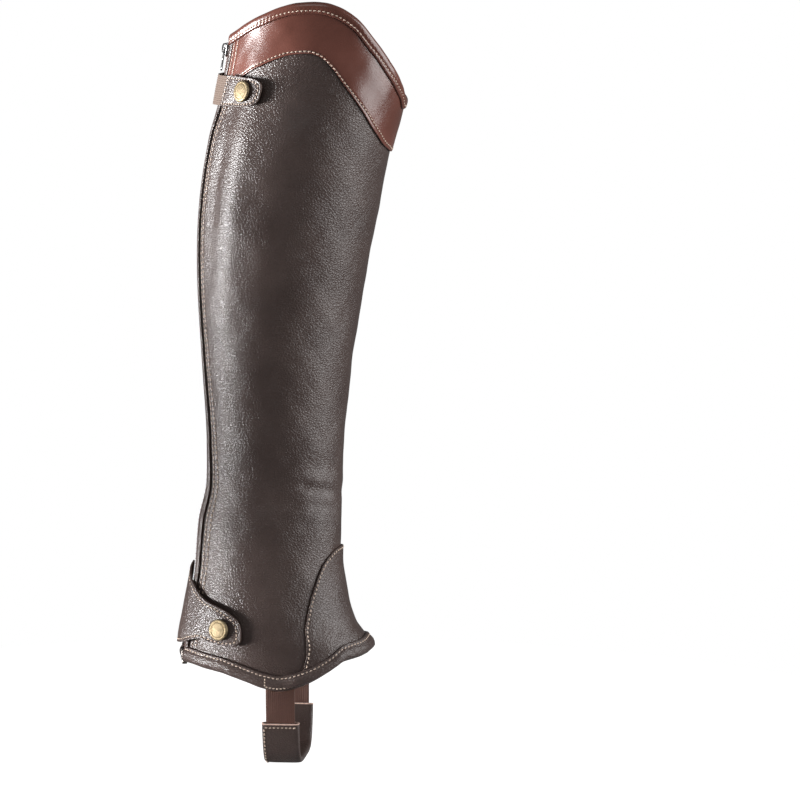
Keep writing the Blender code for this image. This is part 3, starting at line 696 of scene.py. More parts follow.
def stops(length, step, rows=()):
    """Places across a piece in millimetres from its first edge, close at edges and sewn rows."""
    places = [0.0, 0.07, 0.18, EDGE_ROUND, 0.8]
    places += [length - place for place in places]
    places += list(np.arange(step, length - step / 2, step))
    places += [row + shift for row in rows for shift in (-0.9, -0.45, 0.0, 0.45, 0.9)]
    kept = []
    for place in sorted(places):
        if 0 <= place <= length and (not kept or place - kept[-1] > 0.05):
            kept.append(place)
    kept[-1] = length
    return np.array(kept)


def rounding(from_edge):
    inside = np.clip(EDGE_ROUND - from_edge, 0.0, EDGE_ROUND)
    return EDGE_ROUND - np.sqrt(EDGE_ROUND**2 - inside**2)


def groove(distance):
    return GROOVE * bell(distance, GROOVE_HALF)


def ring_around(place, z, ends, length):
    """The angle of a place round the leg: true millimetres near the zip, shares in between."""
    near = 20.0
    degree = np.degrees(1.0 / through(SECTIONS, "wide", z))
    first = through(ZIP_LINE, "around", z) + ends[0] * degree
    last = through(ZIP_LINE, "around", z) + 360.0 + ends[1] * degree
    start, stop = first + near * degree, last - near * degree
    share = (place - near) / (length - 2 * near)
    middle = start + share * (stop - start)
    return np.where(
        place < near, first + place * degree,
        np.where(place > length - near, last - (length - place) * degree, middle),
    )


def ring_piece(name, finish, low, high, ends, face, wall, height, step, rows_up=(), rows_side=(),
               levels=(0.0, TOP_LEVEL), length=ROUND, inside=FLESH):
    """A wall that wraps the leg between two edges, with grooves for its sewn rows."""
    side = [along - ends[0] for along in rows_side if along > 0]
    side += [length - (ends[1] - along) for along in rows_side if along < 0]
    place = stops(length, SIDE_STEP, side)
    up = stops(height, step, rows_up)
    bottom, top = (edge(ring_around(place, level, ends, length))
                   for edge, level in zip((low, high), levels))
    z = bottom + (top - bottom) * (up / height)[:, None]
    around = ring_around(place, z, ends, length)
    sunk = 0.0
    for row in side:
        sunk = np.maximum(sunk, groove(place - row)[None, :])
    for first, second in zip(side[::2], side[1::2]):
        sunk = sunk - RIDGE * bell(place - (first + second) / 2, RIDGE_HALF)[None, :]
    for row in rows_up:
        sunk = np.maximum(sunk, groove(up - row)[:, None])
    drop = np.maximum(rounding(np.minimum(place, length - place))[None, :],
                      rounding(np.minimum(up, height - up))[:, None])
    return closed_wall(name, finish, skin(around, z, face - drop - sunk),
                       skin(around, z, face - wall + drop), inside)


BOTH_EDGES = (PANEL_EDGE, -PANEL_EDGE)
body = ring_piece(
    "body_panel_leather", MAIN, body_low, below_rim, BOTH_EDGES, 0.0, BODY_WALL, 395.0, 2.1,
    rows_side=INNER_ROWS + OUTER_ROWS,
)
collar = ring_piece(
    "collar_leather", TRIM, collar_low, below_rim, (PANEL_EDGE, -PANEL_EDGE - STRIP_WIDTH - GAP),
    COLLAR_FACE, COLLAR_WALL, 32.0, 1.6, (COLLAR_ROW,), INNER_ROWS + OUTER_ROWS, COLLAR_LEVELS,
    335.0,
)
facing = ring_piece(
    "top_facing_leather", TRIM, lambda a: collar_low(a) + FACING_LIFT, below_rim,
    (TAPE_EDGE + 0.5, -TAPE_EDGE - 0.5), FACING_FACE, FACING_WALL, 26.0, 1.8, (COLLAR_ROW,), (),
    COLLAR_LEVELS, 322.0, TRIM,
)


def folded_edge(name, finish, profile, level, height_at, step_over, row):
    """A folded leather edge; it puckers a little at each stitch of its row."""
    share = np.linspace(0.0, 1.0, 560)

    def turned(z):
        return ring_around(share * ROUND, z, BOTH_EDGES, ROUND)

    knots = table("key high out", *((key, *point) for key, point in enumerate(profile)))
    fine = np.linspace(0, len(profile) - 1, 3 * len(profile) - 2)[:, None]
    high, out = through(knots, "high", fine), through(knots, "out", fine)
    z = height_at(turned(level), high)
    around = turned(z)
    near_row = bell(high - row, 1.6) * (out > 0)
    pucker = 0.10 * np.cos(2 * np.pi * (ROUND / EDGE_PITCH) * share) * near_row
    lift = step_over(around) * (fine < 8.5)
    drop = rounding(np.minimum(share, 1 - share) * ROUND)
    outer = skin(around, z, out + pucker + lift - drop * np.sign(out + 1.0))
    # The wall's other side lies inside the fold.
    tangent = unit(np.gradient(np.hstack([high, out]), axis=0))
    inward_high, inward_out = -tangent[:, 1:], tangent[:, :1]
    side = 1.0 if inward_out[len(fine) // 4, 0] < 0 else -1.0
    depth = FOLD_WALL * (1 - 0.6 * np.exp(-np.minimum(fine, fine[-1] - fine) / 0.5))
    inner_z = height_at(turned(level), high + side * inward_high * depth)
    inner = skin(turned(inner_z), inner_z, out + side * inward_out * depth + lift)
    return closed_wall(name, finish, outer[::-1], inner[::-1])


binding = folded_edge("top_binding_leather", TRIM, RIM_FOLD, TOP_LEVEL, below_rim,
                      lambda a: 0.0, RIM_ROW)
hem_roll = folded_edge("hem_binding_leather", MAIN, HEM_ROLL, 0.0,
                       lambda a, high: hem(a) + high, over_gusset, HEM_ROW)


def make_gusset():
    spread = GUSSET_SPREAD * np.sin((stops(2.0, 0.021) - 1.0) * np.pi / 2)
    around = 180.0 + spread
    low = hem(around) + EDGE_INSIDE
    high = np.maximum(gusset_edge(around), low + 1.0)
    up = stops(GUSSET_TALL, 1.9)[:, None]
    z = low + (high - low) * (up / GUSSET_TALL)
    # Distance from the curved upper edge, measured square to it; a degree is about 0.72 mm.
    climb = np.gradient(high) / np.maximum(np.gradient(spread) * 0.72, 1e-6)
    square = (high - z) / np.sqrt(1 + climb**2)
    drop = np.maximum(rounding(square), rounding(up))
    sunk = groove(square - GUSSET_ROW) * (z > low + 6.0)
    return closed_wall("gusset_leather", MAIN, skin(around, z, GUSSET_FACE - drop - sunk),
                       skin(around, z, GUSSET_GAP + drop), edge=RAW_EDGE)


gusset = make_gusset()


def flap_flare(along, share):
    return FLAP_FLARE * (1 - share) ** 2 * bell(along - FLAP_FLARE_ALONG, FLAP_FLARE_REACH)


def lying_grid(rows, across, up):
    """Places of a piece that lies over the zip: shares across and up it from 0 to 1."""
    first, last = rows[0].along, rows[-1].along
    along = first + (last - first) * across
    low, high = through(rows, "low", along), through(rows, "high", along)
    return along, low + (high - low) * up, through(rows, "off", along)


def lying_off(rows, along, z, extra=None):
    """How far out a piece that lies over the zip is at a place."""
    off = through(rows, "off", along)
    if extra:
        low, high = through(rows, "low", along), through(rows, "high", along)
        off = off + extra(along, (z - low) / (high - low))
    return off


def edge_distance(points):
    """Each grid point's distance from the grid's border, all in millimetres."""
    border = np.concatenate([points[0], points[-1], points[:, 0], points[:, -1]])
    flat = points.reshape(-1, 3)
    best = np.full(len(flat), 1e9)
    for part in np.array_split(border, max(1, len(border) // 60)):
        gap = np.linalg.norm(flat[:, None] - part[None], axis=-1).min(axis=1)
        best = np.minimum(best, gap)
    return best.reshape(points.shape[:2])


def crowded(count, end=0.12):
    """Shares from 0 to 1, closer at both ends."""
    t = np.linspace(0.0, 1.0, count)
    return (1 - end) * (0.5 - 0.5 * np.cos(np.pi * t)) + end * t


def lying_wall(name, rows, wall, row, columns, ups, extra=None):
    """A leather piece over the zip with a row of stitches inside its whole edge."""
    across, up = crowded(columns)[None, :], crowded(ups)[:, None]
    along, z, off = lying_grid(rows, across, up)
    if extra:
        off = off + extra(along, up)
    around = beside_zip(along, z)
    from_edge = edge_distance(skin(around, z, off + wall))
    drop = rounding(from_edge)
    puff = 0.25 * smooth_step(from_edge, row, row + 4.0)
    outer = skin(around, z, off + wall - drop - groove(from_edge - row) + puff)
    return closed_wall(name, MAIN, outer, skin(around, z, off + drop), edge=RAW_EDGE)


flap = lying_wall("ankle_flap_leather", FLAP, FLAP_WALL, FLAP_ROW, 90, 60, flap_flare)
tab = lying_wall("band_tab_leather", BAND_TAB, TAB_WALL, TAB_ROW, 80, 52)


def make_edge_strip():
    place = stops(STRIP_WIDTH, 0.45)
    along = -PANEL_EDGE - STRIP_WIDTH + place
    low = hem(beside_zip(along, 0.0)) + HEM_TOP
    high = below_rim(beside_zip(along, TOP_LEVEL) + 360.0, RIM_BOTTOM)
    z = low + (high - low) * np.linspace(0.0, 1.0, 230)[:, None]
    middle = (place - STRIP_WIDTH / 2) / (STRIP_WIDTH / 2)
    crown = 0.55 * np.sqrt(np.clip(1 - middle**2, 0, 1)) - 0.25
    around = beside_zip(along, z)
    return closed_wall("zip_edge_strip_leather", MAIN, skin(around, z, STRIP_FACE + crown),
                       skin(around, z, GAP + 0.2 * np.abs(middle) ** 4))


edge_strip = make_edge_strip()


# ---------------------------------------------------------------- elastics and tape
def woven_wall(name, finish, outer, inner, u, v, **settings):
    uv = np.stack(np.broadcast_arrays(u, v), -1)
    return closed_wall(name, finish, outer, inner, finish, finish, uv, **settings)


RIB_DEPTH = 0.09


def ribbed(place, width, pitch):
    """Low ribs across a band, fading at its two selvedges; their tops lie at 0."""
    fade = smooth_step(np.minimum(place, width - place), 0.3, 1.4)
    return RIB_DEPTH * np.cos(2 * np.pi * place / pitch) * fade - RIB_DEPTH


def make_band_elastic():
    up = np.linspace(0.0, 1.0, 110)[:, None]
    along, z, off = lying_grid(BAND_ELASTIC, np.linspace(0.0, 1.0, 70)[None, :], up)
    width = BAND_ELASTIC[0].high - BAND_ELASTIC[0].low
    around = beside_zip(along, z)
    outer = skin(around, z, off + BAND_WALL + ribbed(up * width, width, 1.35))
    return woven_wall("band_elastic_weave", ELASTIC, outer, skin(around, z, off),
                      up * width, along)


band_elastic = make_band_elastic()


def make_tape(name, side):
    place = np.linspace(0.0, 1.0, 22)
    along = side * (CHAIN_HALF + GAP + (TAPE_EDGE - CHAIN_HALF - GAP) * place)
    along = along[::side]
    z = np.linspace(TAPE_LOW, TAPE_HIGH, 200)[:, None]
    around = beside_zip(along, z)
    face = -BODY_WALL - TAPE_GAP
    outer = skin(around, z, face - 0.32 + 0.30 * bell(np.abs(along) - 4.4, 0.7))
    return woven_wall(name, TAPE, outer, skin(around, z, face - TAPE_WALL), along, z)


tapes = [make_tape("zip_tape_inner_weave", 1), make_tape("zip_tape_outer_weave", -1)]

# ---------------------------------------------------------------- zip teeth
TOOTH_PITCH = 3.2
TOOTH_SIDES = 8
# reach: from the tooth's heel at the tape to its head past the middle.
TOOTH = table(
    "reach thick deep slant",
    (3.00, 0.05, 0.10, 0.00),
    (2.92, 0.48, 0.75, 0.00),
    (2.55, 0.55, 1.05, 0.05),
    (1.70, 0.50, 1.05, 0.20),
    (0.80, 0.50, 1.00, 0.36),
    (0.10, 0.62, 1.00, 0.44),
    (-0.50, 0.60, 0.95, 0.46),
    (-0.78, 0.30, 0.55, 0.46),
    (-0.84, 0.05, 0.10, 0.46),
)


def frames_on(along, z, out):
    """Origins and axes on the leather: side along the zip's width, outward, up the leg."""
    origin, normal = on_leather(beside_zip(along, z), z, out)
    side = unit(np.stack([normal[..., 1], -normal[..., 0], 0 * normal[..., 0]], -1))
    return origin, side, normal, np.cross(side, normal)


def make_chain():
    shapes = []
    for side in (1, -1):
        heights = np.arange(CHAIN_LOW + 0.8 + (TOOTH_PITCH / 2 if side < 0 else 0),
                            CHAIN_HIGH - 0.8, TOOTH_PITCH)
        origin, across, normal, up = frames_on(0.0, heights, -1.55)
        form = [(side * ring.reach, ring.thick * np.cos(t) + ring.slant - 0.2,
                 ring.deep * np.sin(t)) for ring in TOOTH for t in full_turn(TOOTH_SIDES)]
        faces = strip_faces(len(TOOTH), TOOTH_SIDES, 0, True)[:, ::side]
        shapes.append(stamped(origin, (across, up, normal), form, faces))
    joined_piece("zip_chain_teeth", shapes, (TEETH,), flat=60)


make_chain()


# ---------------------------------------------------------------- strap under the foot
def strap_path(first_step):
    """The strap's path across the leg: x, z and the outward direction's x and z."""
    half = np.arange(first_step, STRAP[-1].step + STRAP_STEP / 2, STRAP_STEP)
    side, height = through(STRAP, "side", half), through(STRAP, "height", half)
    x = np.concatenate([side, -side[-2::-1]])
    z = np.concatenate([height, height[-2::-1]])
    along_x, along_z = np.gradient(x), np.gradient(z)
    length = np.hypot(along_x, along_z)
    return x, z, -along_z / length, along_x / length


def strap_run(path):
    return run_along(np.stack(path[:2], -1))


def strap_points(path, y, off):
    x, z, out_x, out_z = (value[:, None] for value in path)
    depth = STRAP_MIDDLE_Y + y
    leg = SECTIONS[1]
    curve = leg.wide * (1 - np.sqrt(1 - ((depth + leg.ahead) / leg.deep) ** 2))
    bend = curve * smooth_step(z, *STRAP_FADE) * np.sign(x)
    points = np.broadcast_arrays(x + out_x * off - bend, depth, z + out_z * off)
    return np.stack(points, axis=-1)


def path_at(path, at):
    """The strap's path at one length along it."""
    run = strap_run(path)
    return [np.array([np.interp(at, run, part)]) for part in path]


def make_stirrup_elastic():
    path = strap_path(0.0)
    place = np.linspace(0.0, STRAP_WIDTH, 72)
    selvedge = 0.35 * np.exp(-np.minimum(place, STRAP_WIDTH - place) / 0.25)
    face = STRAP_WALL / 2 + ribbed(place, STRAP_WIDTH, 1.3) - selvedge
    y = place - STRAP_WIDTH / 2
    return woven_wall("stirrup_elastic_weave", STRAP_WEAVE, strap_points(path, y, face),
                      strap_points(path, y, -face), place, strap_run(path)[:, None])


stirrup = make_stirrup_elastic()


def sleeve_ring(half_width, half_wall, count=56):
    turn = full_turn(count)
    across = squarish(turn, 0.35) * half_width
    return across, np.sign(np.sin(turn)) * np.abs(np.sin(turn)) ** 0.5 * half_wall


def make_guard():
    path = strap_path(GUARD_START)
    run = strap_run(path)
    end = np.exp(-np.minimum(run, run[-1] - run)[:, None] / 0.6)
    across, off = sleeve_ring(GUARD_WIDTH / 2, GUARD_FACE)
    outer = strap_points(path, across, off * (1 - 0.10 * end))
    across, off = sleeve_ring(GUARD_WIDTH / 2 - GUARD_WALL, GUARD_FACE - GUARD_WALL)
    inner = strap_points(path, across, off * (1 + 0.12 * end))
    return closed_wall("stirrup_guard_leather", MAIN, outer, inner, close=True)


guard = make_guard()


# ---------------------------------------------------------------- zip's metal parts
def frame_on(along, z, out=0.0):
    """A place on the leather as a matrix: x along the zip's width, y outwards, z up the leg."""
    origin, side, normal, up = frames_on(along, float(z), float(out))
    turn = Matrix((Vector(side), Vector(normal), Vector(up))).transposed()
    return Matrix.Translation(Vector(origin)) @ turn.to_4x4()


def rounded(corners, radius):
    """A polygon's outline with each corner rounded off."""
    corners = np.array(corners, float)
    outline = []
    for before, here, after in zip(np.roll(corners, 1, 0), corners, np.roll(corners, -1, 0)):
        back, on = before - here, after - here
        cut = min(radius, 0.49 * np.linalg.norm(back), 0.49 * np.linalg.norm(on))
        start, end = here + unit(back) * cut, here + unit(on) * cut
        for t in np.linspace(0.0, 1.0, 6):
            outline.append((1 - t) ** 2 * start + 2 * t * (1 - t) * here + t * t * end)
    return outline


def box(half, low, high, radius):
    return rounded(((-half, low), (half, low), (half, high), (-half, high)), radius)


def plate(outlines, low, high, bevel):
    """Points and faces of a bevelled plate: outlines in x and z, thick from low to high in y."""
    data = bpy.data.curves.new("plate", "CURVE")
    data.dimensions = "2D"
    data.fill_mode = "BOTH"
    data.extrude = (high - low) / 2 - bevel
    data.bevel_depth = bevel
    data.bevel_resolution = 3
    data.offset = -bevel
    for outline in outlines:
        spline = data.splines.new("POLY")
        spline.points.add(len(outline) - 1)
        spline.points.foreach_set("co", [v for x, z in outline for v in (x, z, 0.0, 1.0)])
        spline.use_cyclic_u = True
    holder = bpy.data.objects.new("plate", data)
    mesh = bpy.data.meshes.new_from_object(holder)
    points = [(v.co.x, (low + high) / 2 - v.co.z, v.co.y) for v in mesh.vertices]
    faces = [tuple(p.vertices) for p in mesh.polygons]
    bpy.data.objects.remove(holder)
    bpy.data.curves.remove(data)
    bpy.data.meshes.remove(mesh)
    return points, faces


def bar(path, half_wide, half_thick, sides=12):
    """Points and faces of a round-cornered bar that follows a path in y and z."""
    path = np.array(path, float)
    along = unit(np.gradient(path, axis=0))
    across = np.stack([-along[:, 1], along[:, 0]], -1)
    turn = full_turn(sides)
    x = half_wide * squarish(turn, 0.6)
    off = half_thick * np.sign(np.sin(turn)) * np.abs(np.sin(turn)) ** 0.6
    points = [(x[i], *(place + side * off[i]))
              for place, side in zip(path, across) for i in range(sides)]
    faces = strip_faces(len(path), sides, 0, True).tolist()
    last = (len(path) - 1) * sides
    return points, [*faces, range(sides), range(last + sides - 1, last - 1, -1)]


def metal_piece(name, shapes, place, finish=NICKEL, **settings):
    shapes = [([tuple(place @ Vector(p)) for p in points], faces) for points, faces in shapes]
    return joined_piece(name, shapes, (finish,), flat=32, **settings)


SLIDER_PLATE = rounded(
    ((-2.6, -4.6), (2.6, -4.6), (3.1, -1.0), (4.0, 1.4), (3.7, 4.0), (1.2, 3.2), (-1.2, 3.2),
     (-3.7, 4.0), (-4.0, 1.4), (-3.1, -1.0)), 1.3,
)
BRIDGE = ((0.9, -2.9), (2.6, -2.9), (3.5, -2.5), (3.8, -1.6), (3.85, 0.0), (3.8, 1.6), (3.5, 2.4),
          (2.6, 2.8), (0.9, 2.8))
metal_piece(
    "zip_slider_metal",
    (
        plate([SLIDER_PLATE], 0.0, 1.8, 0.4),
        plate([SLIDER_PLATE], -5.2, -3.6, 0.4),
        plate([box(1.2, -1.2, 3.4, 0.7)], -5.0, 1.5, 0.1),
        bar(BRIDGE, 0.75, 0.5),
    ),
    frame_on(0.0, SLIDER_Z),
)
PULL_OUTLINE = rounded(
    ((-2.2, 0.5), (2.2, 0.5), (2.3, -3.0), (PULL_HALF, -6.5), (PULL_HALF, -PULL_LENGTH + 1.5),
     (1.9, -PULL_LENGTH), (-1.9, -PULL_LENGTH), (-PULL_HALF, -PULL_LENGTH + 1.5),
     (-PULL_HALF, -6.5), (-2.3, -3.0)), 1.4,
)
PULL_WINDOW = rounded(((-1.25, -0.5), (1.25, -0.5), (1.3, -4.4), (-1.3, -4.4)), 0.6)
PULL_SLOT = rounded(((-1.5, -6.2), (1.5, -6.2), (1.5, -11.6), (-1.5, -11.6)), 1.4)
metal_piece(
    "zip_pull_metal",
    [plate([PULL_OUTLINE, PULL_WINDOW, PULL_SLOT], -PULL_THICK / 2, PULL_THICK / 2, 0.28)],
    frame_on(0.0, SLIDER_Z, PULL_AXIS_OUT), body="zip_pull",
)
metal_piece(
    "zip_box_metal",
    (
        plate([box(3.2, -0.8, 6.3, 1.2)], -3.6, 0.7, 0.5),
        plate([box(2.6, -3.6, 0.0, 1.1), box(0.7, -2.9, -1.5, 0.5)], -3.0, 0.1, 0.4),
    ),
    frame_on(0.0, BOX_Z), GUNMETAL,
)

# ---------------------------------------------------------------- press studs
CAP_TURNS = 56
# kind 1 is the dark recess of the cap's plain ring
SNAP_CAP = table(
    "radius height kind",
    (0.01, 0.0, 0), (6.4, 0.0, 0), (6.85, 0.2, 0), (7.0, 0.55, 0), (6.98, 0.95, 0),
    (6.8, 1.35, 0), (6.5, 1.62, 0), (6.2, 1.74, 0), (5.6, 1.84, 0), (5.2, 1.88, 0),
    (5.05, 1.80, 1), (4.85, 1.80, 1), (4.7, 1.92, 0), (4.2, 1.98, 0), (3.2, 2.08, 0),
    (2.2, 2.16, 0), (1.0, 2.22, 0), (0.01, 2.24, 0),
)


def make_cap(name, rows, along, z, wall, extra=None):
    place = frame_on(along, z, lying_off(rows, along, z, extra) + wall + SNAP_SEAT)
    points = [tuple(place @ Vector((row.radius * np.cos(t), row.height, row.radius * np.sin(t))))
              for row in SNAP_CAP for t in full_turn(CAP_TURNS)]
    faces = strip_faces(len(SNAP_CAP), CAP_TURNS, 0, True)[:, ::-1]
    kinds = np.repeat([row.kind for row in SNAP_CAP[1:]], CAP_TURNS)
    return add_piece(name, points, faces, (BRASS, BRASS_DARK), kinds, flat=60)


make_cap("band_snap_cap", BAND_TAB, BAND_SNAP_ALONG, BAND_SNAP_Z, TAB_WALL)
make_cap("flap_snap_cap", FLAP, FLAP_SNAP_ALONG, FLAP_SNAP_Z, FLAP_WALL, flap_flare)
for stud in ("band_stud", "flap_stud"):
    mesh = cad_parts[stud].data
    mesh.materials.clear()
    mesh.materials.append(BRASS.material)

# ---------------------------------------------------------------- sewing
# One stitch from hole to hole: place along it, thickness and height, in shares of its halves.
STITCH = table(
    "reach round rise",
    (-1.0, 0.25, -1.1), (-0.86, 0.75, -0.45), (-0.5, 1.0, 0.05), (0.0, 1.05, 0.18),
    (0.5, 1.0, 0.05), (0.86, 0.75, -0.45), (1.0, 0.25, -1.1),
)
STITCH_SIDES = 7
# The dark disc of painted shade at each needle hole: radius and height of its rings.
HOLE_RINGS = table("radius height", (0.68, -0.08), (0.56, 0.06), (0.02, 0.10))
HOLE_SIDES = 8


def spaced(path, normal, pitch, shift):
    """Places a pitch apart along a path, with the way along it, across it and outwards."""
    run = run_along(path)
    count = max(2, int(round(run[-1] / pitch)))
    at = (np.arange(count) + shift) * run[-1] / count

    def read(values, where):
        return np.stack([np.interp(where, run, values[:, k]) for k in range(3)], -1)

    forward = unit(read(path, at + 0.4) - read(path, at - 0.4))
    across = unit(np.cross(read(normal, at), forward))
    return read(path, at), forward, across, np.cross(forward, across), run[-1] / count


def sew(name, rows, pitch=EDGE_PITCH, hole=1.0):
    """Rows of thread, each a pair of points and outward directions, with their needle holes as
    dark discs of painted shade.
    """
    stitch_faces = strip_faces(len(STITCH), STITCH_SIDES, 0, True)
    hole_faces = strip_faces(len(HOLE_RINGS), HOLE_SIDES, 0, True)
    hole_form = [(hole * ring.radius * np.cos(t), 1.15 * hole * ring.radius * np.sin(t),
                  ring.height - 0.16) for ring in HOLE_RINGS for t in full_turn(HOLE_SIDES)]
    shapes = []
    for path, normal in rows:
        place, forward, across, out, step = spaced(path, normal, pitch, 0.5)
        half = step * STITCH_LONG / 2
        form = [(bead.reach * half, bead.round * THREAD_HALF * np.cos(t),
                 (bead.rise * 0.5 + bead.round * 0.8 * np.sin(t)) * THREAD_HALF)
                for bead in STITCH for t in full_turn(STITCH_SIDES)]
        tilted = forward * math.cos(SLANT) + across * math.sin(SLANT)
        beside = across * math.cos(SLANT) - forward * math.sin(SLANT)
        shapes.append(stamped(place, (tilted, beside, out), form, stitch_faces))
        place, *axes, step = spaced(path, normal, pitch, 1.0)
        shapes.append(stamped(place, axes, hole_form, hole_faces))
    return joined_piece(name, shapes, (THREAD, HOLE_SHADE), flat=75, trim=True)


def zip_rows(sides):
    rows = []
    for along in sides:
        turn = 0.0 if along > 0 else 360.0
        start = float(hem(beside_zip(along, 0.0))) + HEM_TOP + 0.8
        middle = float(collar_low(beside_zip(along, COLLAR_LEVELS[0]) + turn))
        end = float(below_rim(beside_zip(along, 392.0) + turn, RIM_BOTTOM)) - 0.6
        for low, high, out in ((start, middle - 0.8, 0.0), (middle + 0.9, end, COLLAR_FACE)):
            z = np.linspace(low, high, 160)
            rows.append(on_leather(beside_zip(along, z), z, out - THREAD_SUNK))
    return rows


def round_leg(ends, level, height, out):
    """A row round the leg at a height that depends on the angle."""
    around = np.linspace(beside_zip(ends[0], level), 360.0 + beside_zip(ends[1], level), 700)
    return [on_leather(around, height(around), out(around))]


def border_row(rows, wall, inset, extra=None):
    """The row inside the whole edge of a piece that lies over the zip."""
    count = 260
    there, on, off = np.linspace(0, 1, count), np.ones(count), np.zeros(count)
    across = np.concatenate([there, on, there[::-1], off])
    up = np.concatenate([off, there, on, there[::-1]])
    # Inwards is measured in the piece's own plane, so that corners stay true.
    shape = np.stack(lying_grid(rows, across, up)[:2], -1)
    step = np.linalg.norm(np.diff(shape, axis=0, append=shape[:1]), axis=1) > 1e-6
    shape = shape[step]
    area = np.sum(shape[:, 0] * np.roll(shape[:, 1], -1) - shape[:, 1] * np.roll(shape[:, 0], -1))
    run = run_along(shape)
    at = np.arange(0.0, run[-1], 0.35)
    shape = np.stack([np.interp(at, run, shape[:, k]) for k in range(2)], -1)
    # Keep the inset points that are at least the inset away from every part of the edge.
    forward = unit(np.roll(shape, -1, axis=0) - np.roll(shape, 1, axis=0))
    inward = np.stack([-forward[:, 1], forward[:, 0]], -1) * np.sign(area)
    moved = shape + inward * inset
    gap = np.linalg.norm(moved[:, None] - shape[None], axis=-1).min(axis=1)
    moved = moved[gap > inset * 0.97]
    along, z = np.concatenate([moved, moved[:1]]).T
    return [on_leather(beside_zip(along, z), z, lying_off(rows, along, z, extra) + wall - 0.04)]


def gusset_row():
    around = 180.0 + GUSSET_SPREAD * np.sin(np.linspace(-np.pi / 2, np.pi / 2, 600))
    path, normal = on_leather(around, gusset_edge(around), GUSSET_FACE - THREAD_SUNK)
    path = path + np.cross(normal, unit(np.gradient(path, axis=0))) * GUSSET_ROW
    keep = path[:, 2] > hem(around) + HEM_TOP + 0.6
    return [(path[keep], normal[keep])]


def roll_out(high):
    """How far the hem's roll stands out at a height above its edge, on its outer leg."""
    outer = sorted(HEM_ROLL[:HEM_OUTER_LEG], key=lambda point: point.high)
    return through(outer, "out", high)


def strap_box(first, last):
    """The box of stitches that holds the strap's end under the hem's roll."""
    turns = np.linspace(first, last, 400)
    y = leather(turns, 0.0)[:, 1]
    half = STRAP_WIDTH / 2 - 0.4
    rear, front = (float(np.interp(-(STRAP_MIDDLE_Y + d), -y, turns)) for d in (half, -half))
    low, high = 2.3, HEM_ROW - 0.9
    corners = ((rear, high), (rear, low), (front, low), (front, high))
    rows = []
    for start, end in zip(corners[:-1], corners[1:]):
        around, up = np.linspace(start, end, 40).T
        rows.append(on_leather(around, hem(around) + up, roll_out(up) + 0.02))
    return rows


def guard_rows():
    path = strap_path(GUARD_START)
    run = strap_run(path)
    rear = GUARD_WIDTH / 2 - 1.6
    face = GUARD_FACE - THREAD_SUNK
    line = strap_points(path, rear, face)[:, 0]
    out = np.stack([path[2], 0 * path[2], path[3]], -1)
    keep = (run > 3.0) & (run < run[-1] - 3.0)
    rows = [(line[keep], out[keep])]
    for at in (2.6, run[-1] - 2.6):
        here = path_at(path, at)
        line = strap_points(here, np.linspace(-rear, rear, 40), face)[0]
        rows.append((line, np.tile([here[2][0], 0.0, here[3][0]], (40, 1))))
    return rows


JUST_INSIDE = (PANEL_EDGE + 1.2, -PANEL_EDGE - 1.2)
sew("stitches_zip_outer", zip_rows(OUTER_ROWS), ZIP_PITCH, 1.3)
sew("stitches_zip_inner", zip_rows(INNER_ROWS), ZIP_PITCH, 1.3)
sew("stitches_collar", round_leg((13.5, -17.5), COLLAR_LEVELS[0],
                                 lambda a: collar_low(a) + COLLAR_ROW,
                                 lambda a: COLLAR_FACE - THREAD_SUNK))
sew("stitches_top_binding", round_leg(JUST_INSIDE, 392.0, lambda a: below_rim(a, RIM_ROW),
                                      lambda a: 2.74))
sew("stitches_hem_binding", round_leg(JUST_INSIDE, 4.0, lambda a: hem(a) + HEM_ROW,
                                      lambda a: 1.60 + over_gusset(a)))
sew("stitches_band_tab", border_row(BAND_TAB, TAB_WALL, TAB_ROW), TAB_PITCH)
sew("stitches_ankle_flap", border_row(FLAP, FLAP_WALL, FLAP_ROW, flap_flare))
sew("stitches_gusset", gusset_row())
sew("stitches_strap_boxes", strap_box(60.0, 120.0) + strap_box(300.0, 240.0), BOX_PITCH)
sew("stitches_guard", guard_rows(), GUARD_PITCH)


def guard_rolls():
    """The pale rolled edge round each open end of the strap's sleeve; its pale colour is partly
    the natural edge and partly painted highlight.
    """
    path = strap_path(GUARD_START)
    across, off = sleeve_ring(GUARD_WIDTH / 2 - 0.35, GUARD_FACE - 0.35, 72)
    faces = strip_faces(9, 72, 0, True) % (8 * 72)
    shapes = []
    for at in (0.35, strap_run(path)[-1] - 0.35):
        points = []
        for angle in full_turn(8):
            rise = 0.62 * np.sin(angle)
            here = path_at(path, at + 0.62 * np.cos(angle))
            ring = strap_points(here, across * (1 + rise / 12), off * (1 + rise / 2.6))
            points += ring[0].tolist()
        shapes.append((points, faces.tolist()))
    joined_piece("guard_edge_rolls", shapes, (PALE_EDGE_AND_HIGHLIGHT,), flat=80, trim=True)


guard_rolls()

# ---------------------------------------------------------------- stage and lights
floor_mesh = bpy.data.meshes.new("floor")
floor_mesh.from_pydata(
    [(FLOOR_RADIUS * math.cos(t), FLOOR_RADIUS * math.sin(t), FLOOR_Z) for t in full_turn(96)],
    [], [range(96)],
)
white = Finish("floor_white")
seen = white.add("LightPath", {}).outputs["Is Camera Ray"]
white.feed(white.shader, {
    "Base Color": (0.4, 0.4, 0.4, 1),
    "Roughness": 0.9,
    "Emission Color": (1, 1, 1, 1),
    "Emission Strength": white.sum("MULTIPLY", seen, FLOOR_GLOW),
})
floor_mesh.materials.append(white.material)
floor = bpy.data.objects.new("floor", floor_mesh)
bpy.context.scene.collection.objects.link(floor)

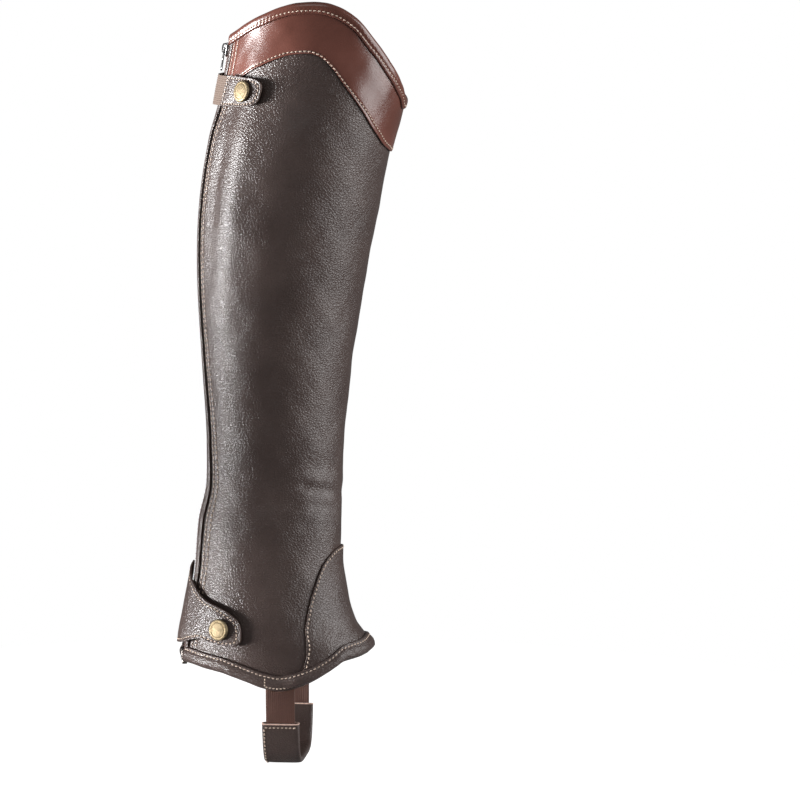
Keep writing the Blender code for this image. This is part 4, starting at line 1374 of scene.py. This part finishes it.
LIGHTS = table(
    "name place aim size power spread",
    ("heel_side_softbox", (-0.17, 1.48, 0.33), (0, 0, 0.74), (0.83, 0.7), 13.5, 42),
    ("toe_side_softbox", (-0.20, -1.60, 0.56), (0, 0, 0.24), (1.35, 1.3), 36.0, 180),
    ("overhead_softbox", (-1.0, 0.15, 1.35), (0, 0, 0.05), (0.9, 0.9), 4.0, 180),
    ("low_heel_softbox", (-0.22, 0.68, -0.03), (0, 0, 0.0), (0.3, 0.06), 0.32, 24),
)
for light in LIGHTS:
    data = bpy.data.lights.new(light.name, "AREA")
    data.shape = "RECTANGLE"
    data.size, data.size_y = light.size
    data.energy = light.power
    data.spread = math.radians(light.spread)
    aimed(light.name, data, light.place, light.aim)

world = bpy.data.worlds.new("world")
world.use_nodes = True
nodes, links = world.node_tree.nodes, world.node_tree.links
choose = nodes.new("ShaderNodeMixShader")
links.new(nodes.new("ShaderNodeLightPath").outputs["Is Camera Ray"], choose.inputs["Fac"])
backgrounds = (nodes["Background"], nodes.new("ShaderNodeBackground"))
for socket, background, strength in zip((1, 2), backgrounds, (ROOM_LIGHT, 1.0)):
    background.inputs["Color"].default_value = (1, 1, 1, 1)
    background.inputs["Strength"].default_value = strength
    links.new(background.outputs[0], choose.inputs[socket])
links.new(choose.outputs[0], nodes["World Output"].inputs["Surface"])
bpy.context.scene.world = world
bpy.context.scene.view_settings.view_transform = "Standard"

# ---------------------------------------------------------------- the leather and cloth as cut
# Metres and square metres of what shows; the area is given where the cut isn't a rectangle.
CUTS = table(
    "piece wide long area held under",
    (body, 0.340, 0.442, 0.1105, "stretched", ()),
    (gusset, 0.126, 0.084, 0.0060, "laid", (body,)),
    (collar, 0.335, 0.094, 0.0111, "laid", (body,)),
    (facing, 0.315, 0.086, 0.0083, "laid", (body,)),
    (binding, 0.342, 0.019, None, "folded", (collar, facing)),
    (hem_roll, 0.325, 0.0205, None, "folded", (body, gusset)),
    (edge_strip, 0.010, 0.393, 0.0019, "folded", (body,)),
    (flap, 0.0675, 0.054, 0.0022, "laid", (body,)),
    (tab, 0.035, 0.0205, None, "laid", (band_elastic,)),
    (band_elastic, 0.0336, 0.020, None, "stretched", (body,)),
    (tapes[0], 0.0101, 0.389, None, "laid", (body,)),
    (tapes[1], 0.0101, 0.389, None, "laid", (body,)),
    (stirrup, 0.0196, 0.173, None, "stretched", (hem_roll,)),
    (guard, 0.051, 0.1065, None, "folded", (stirrup,)),
)
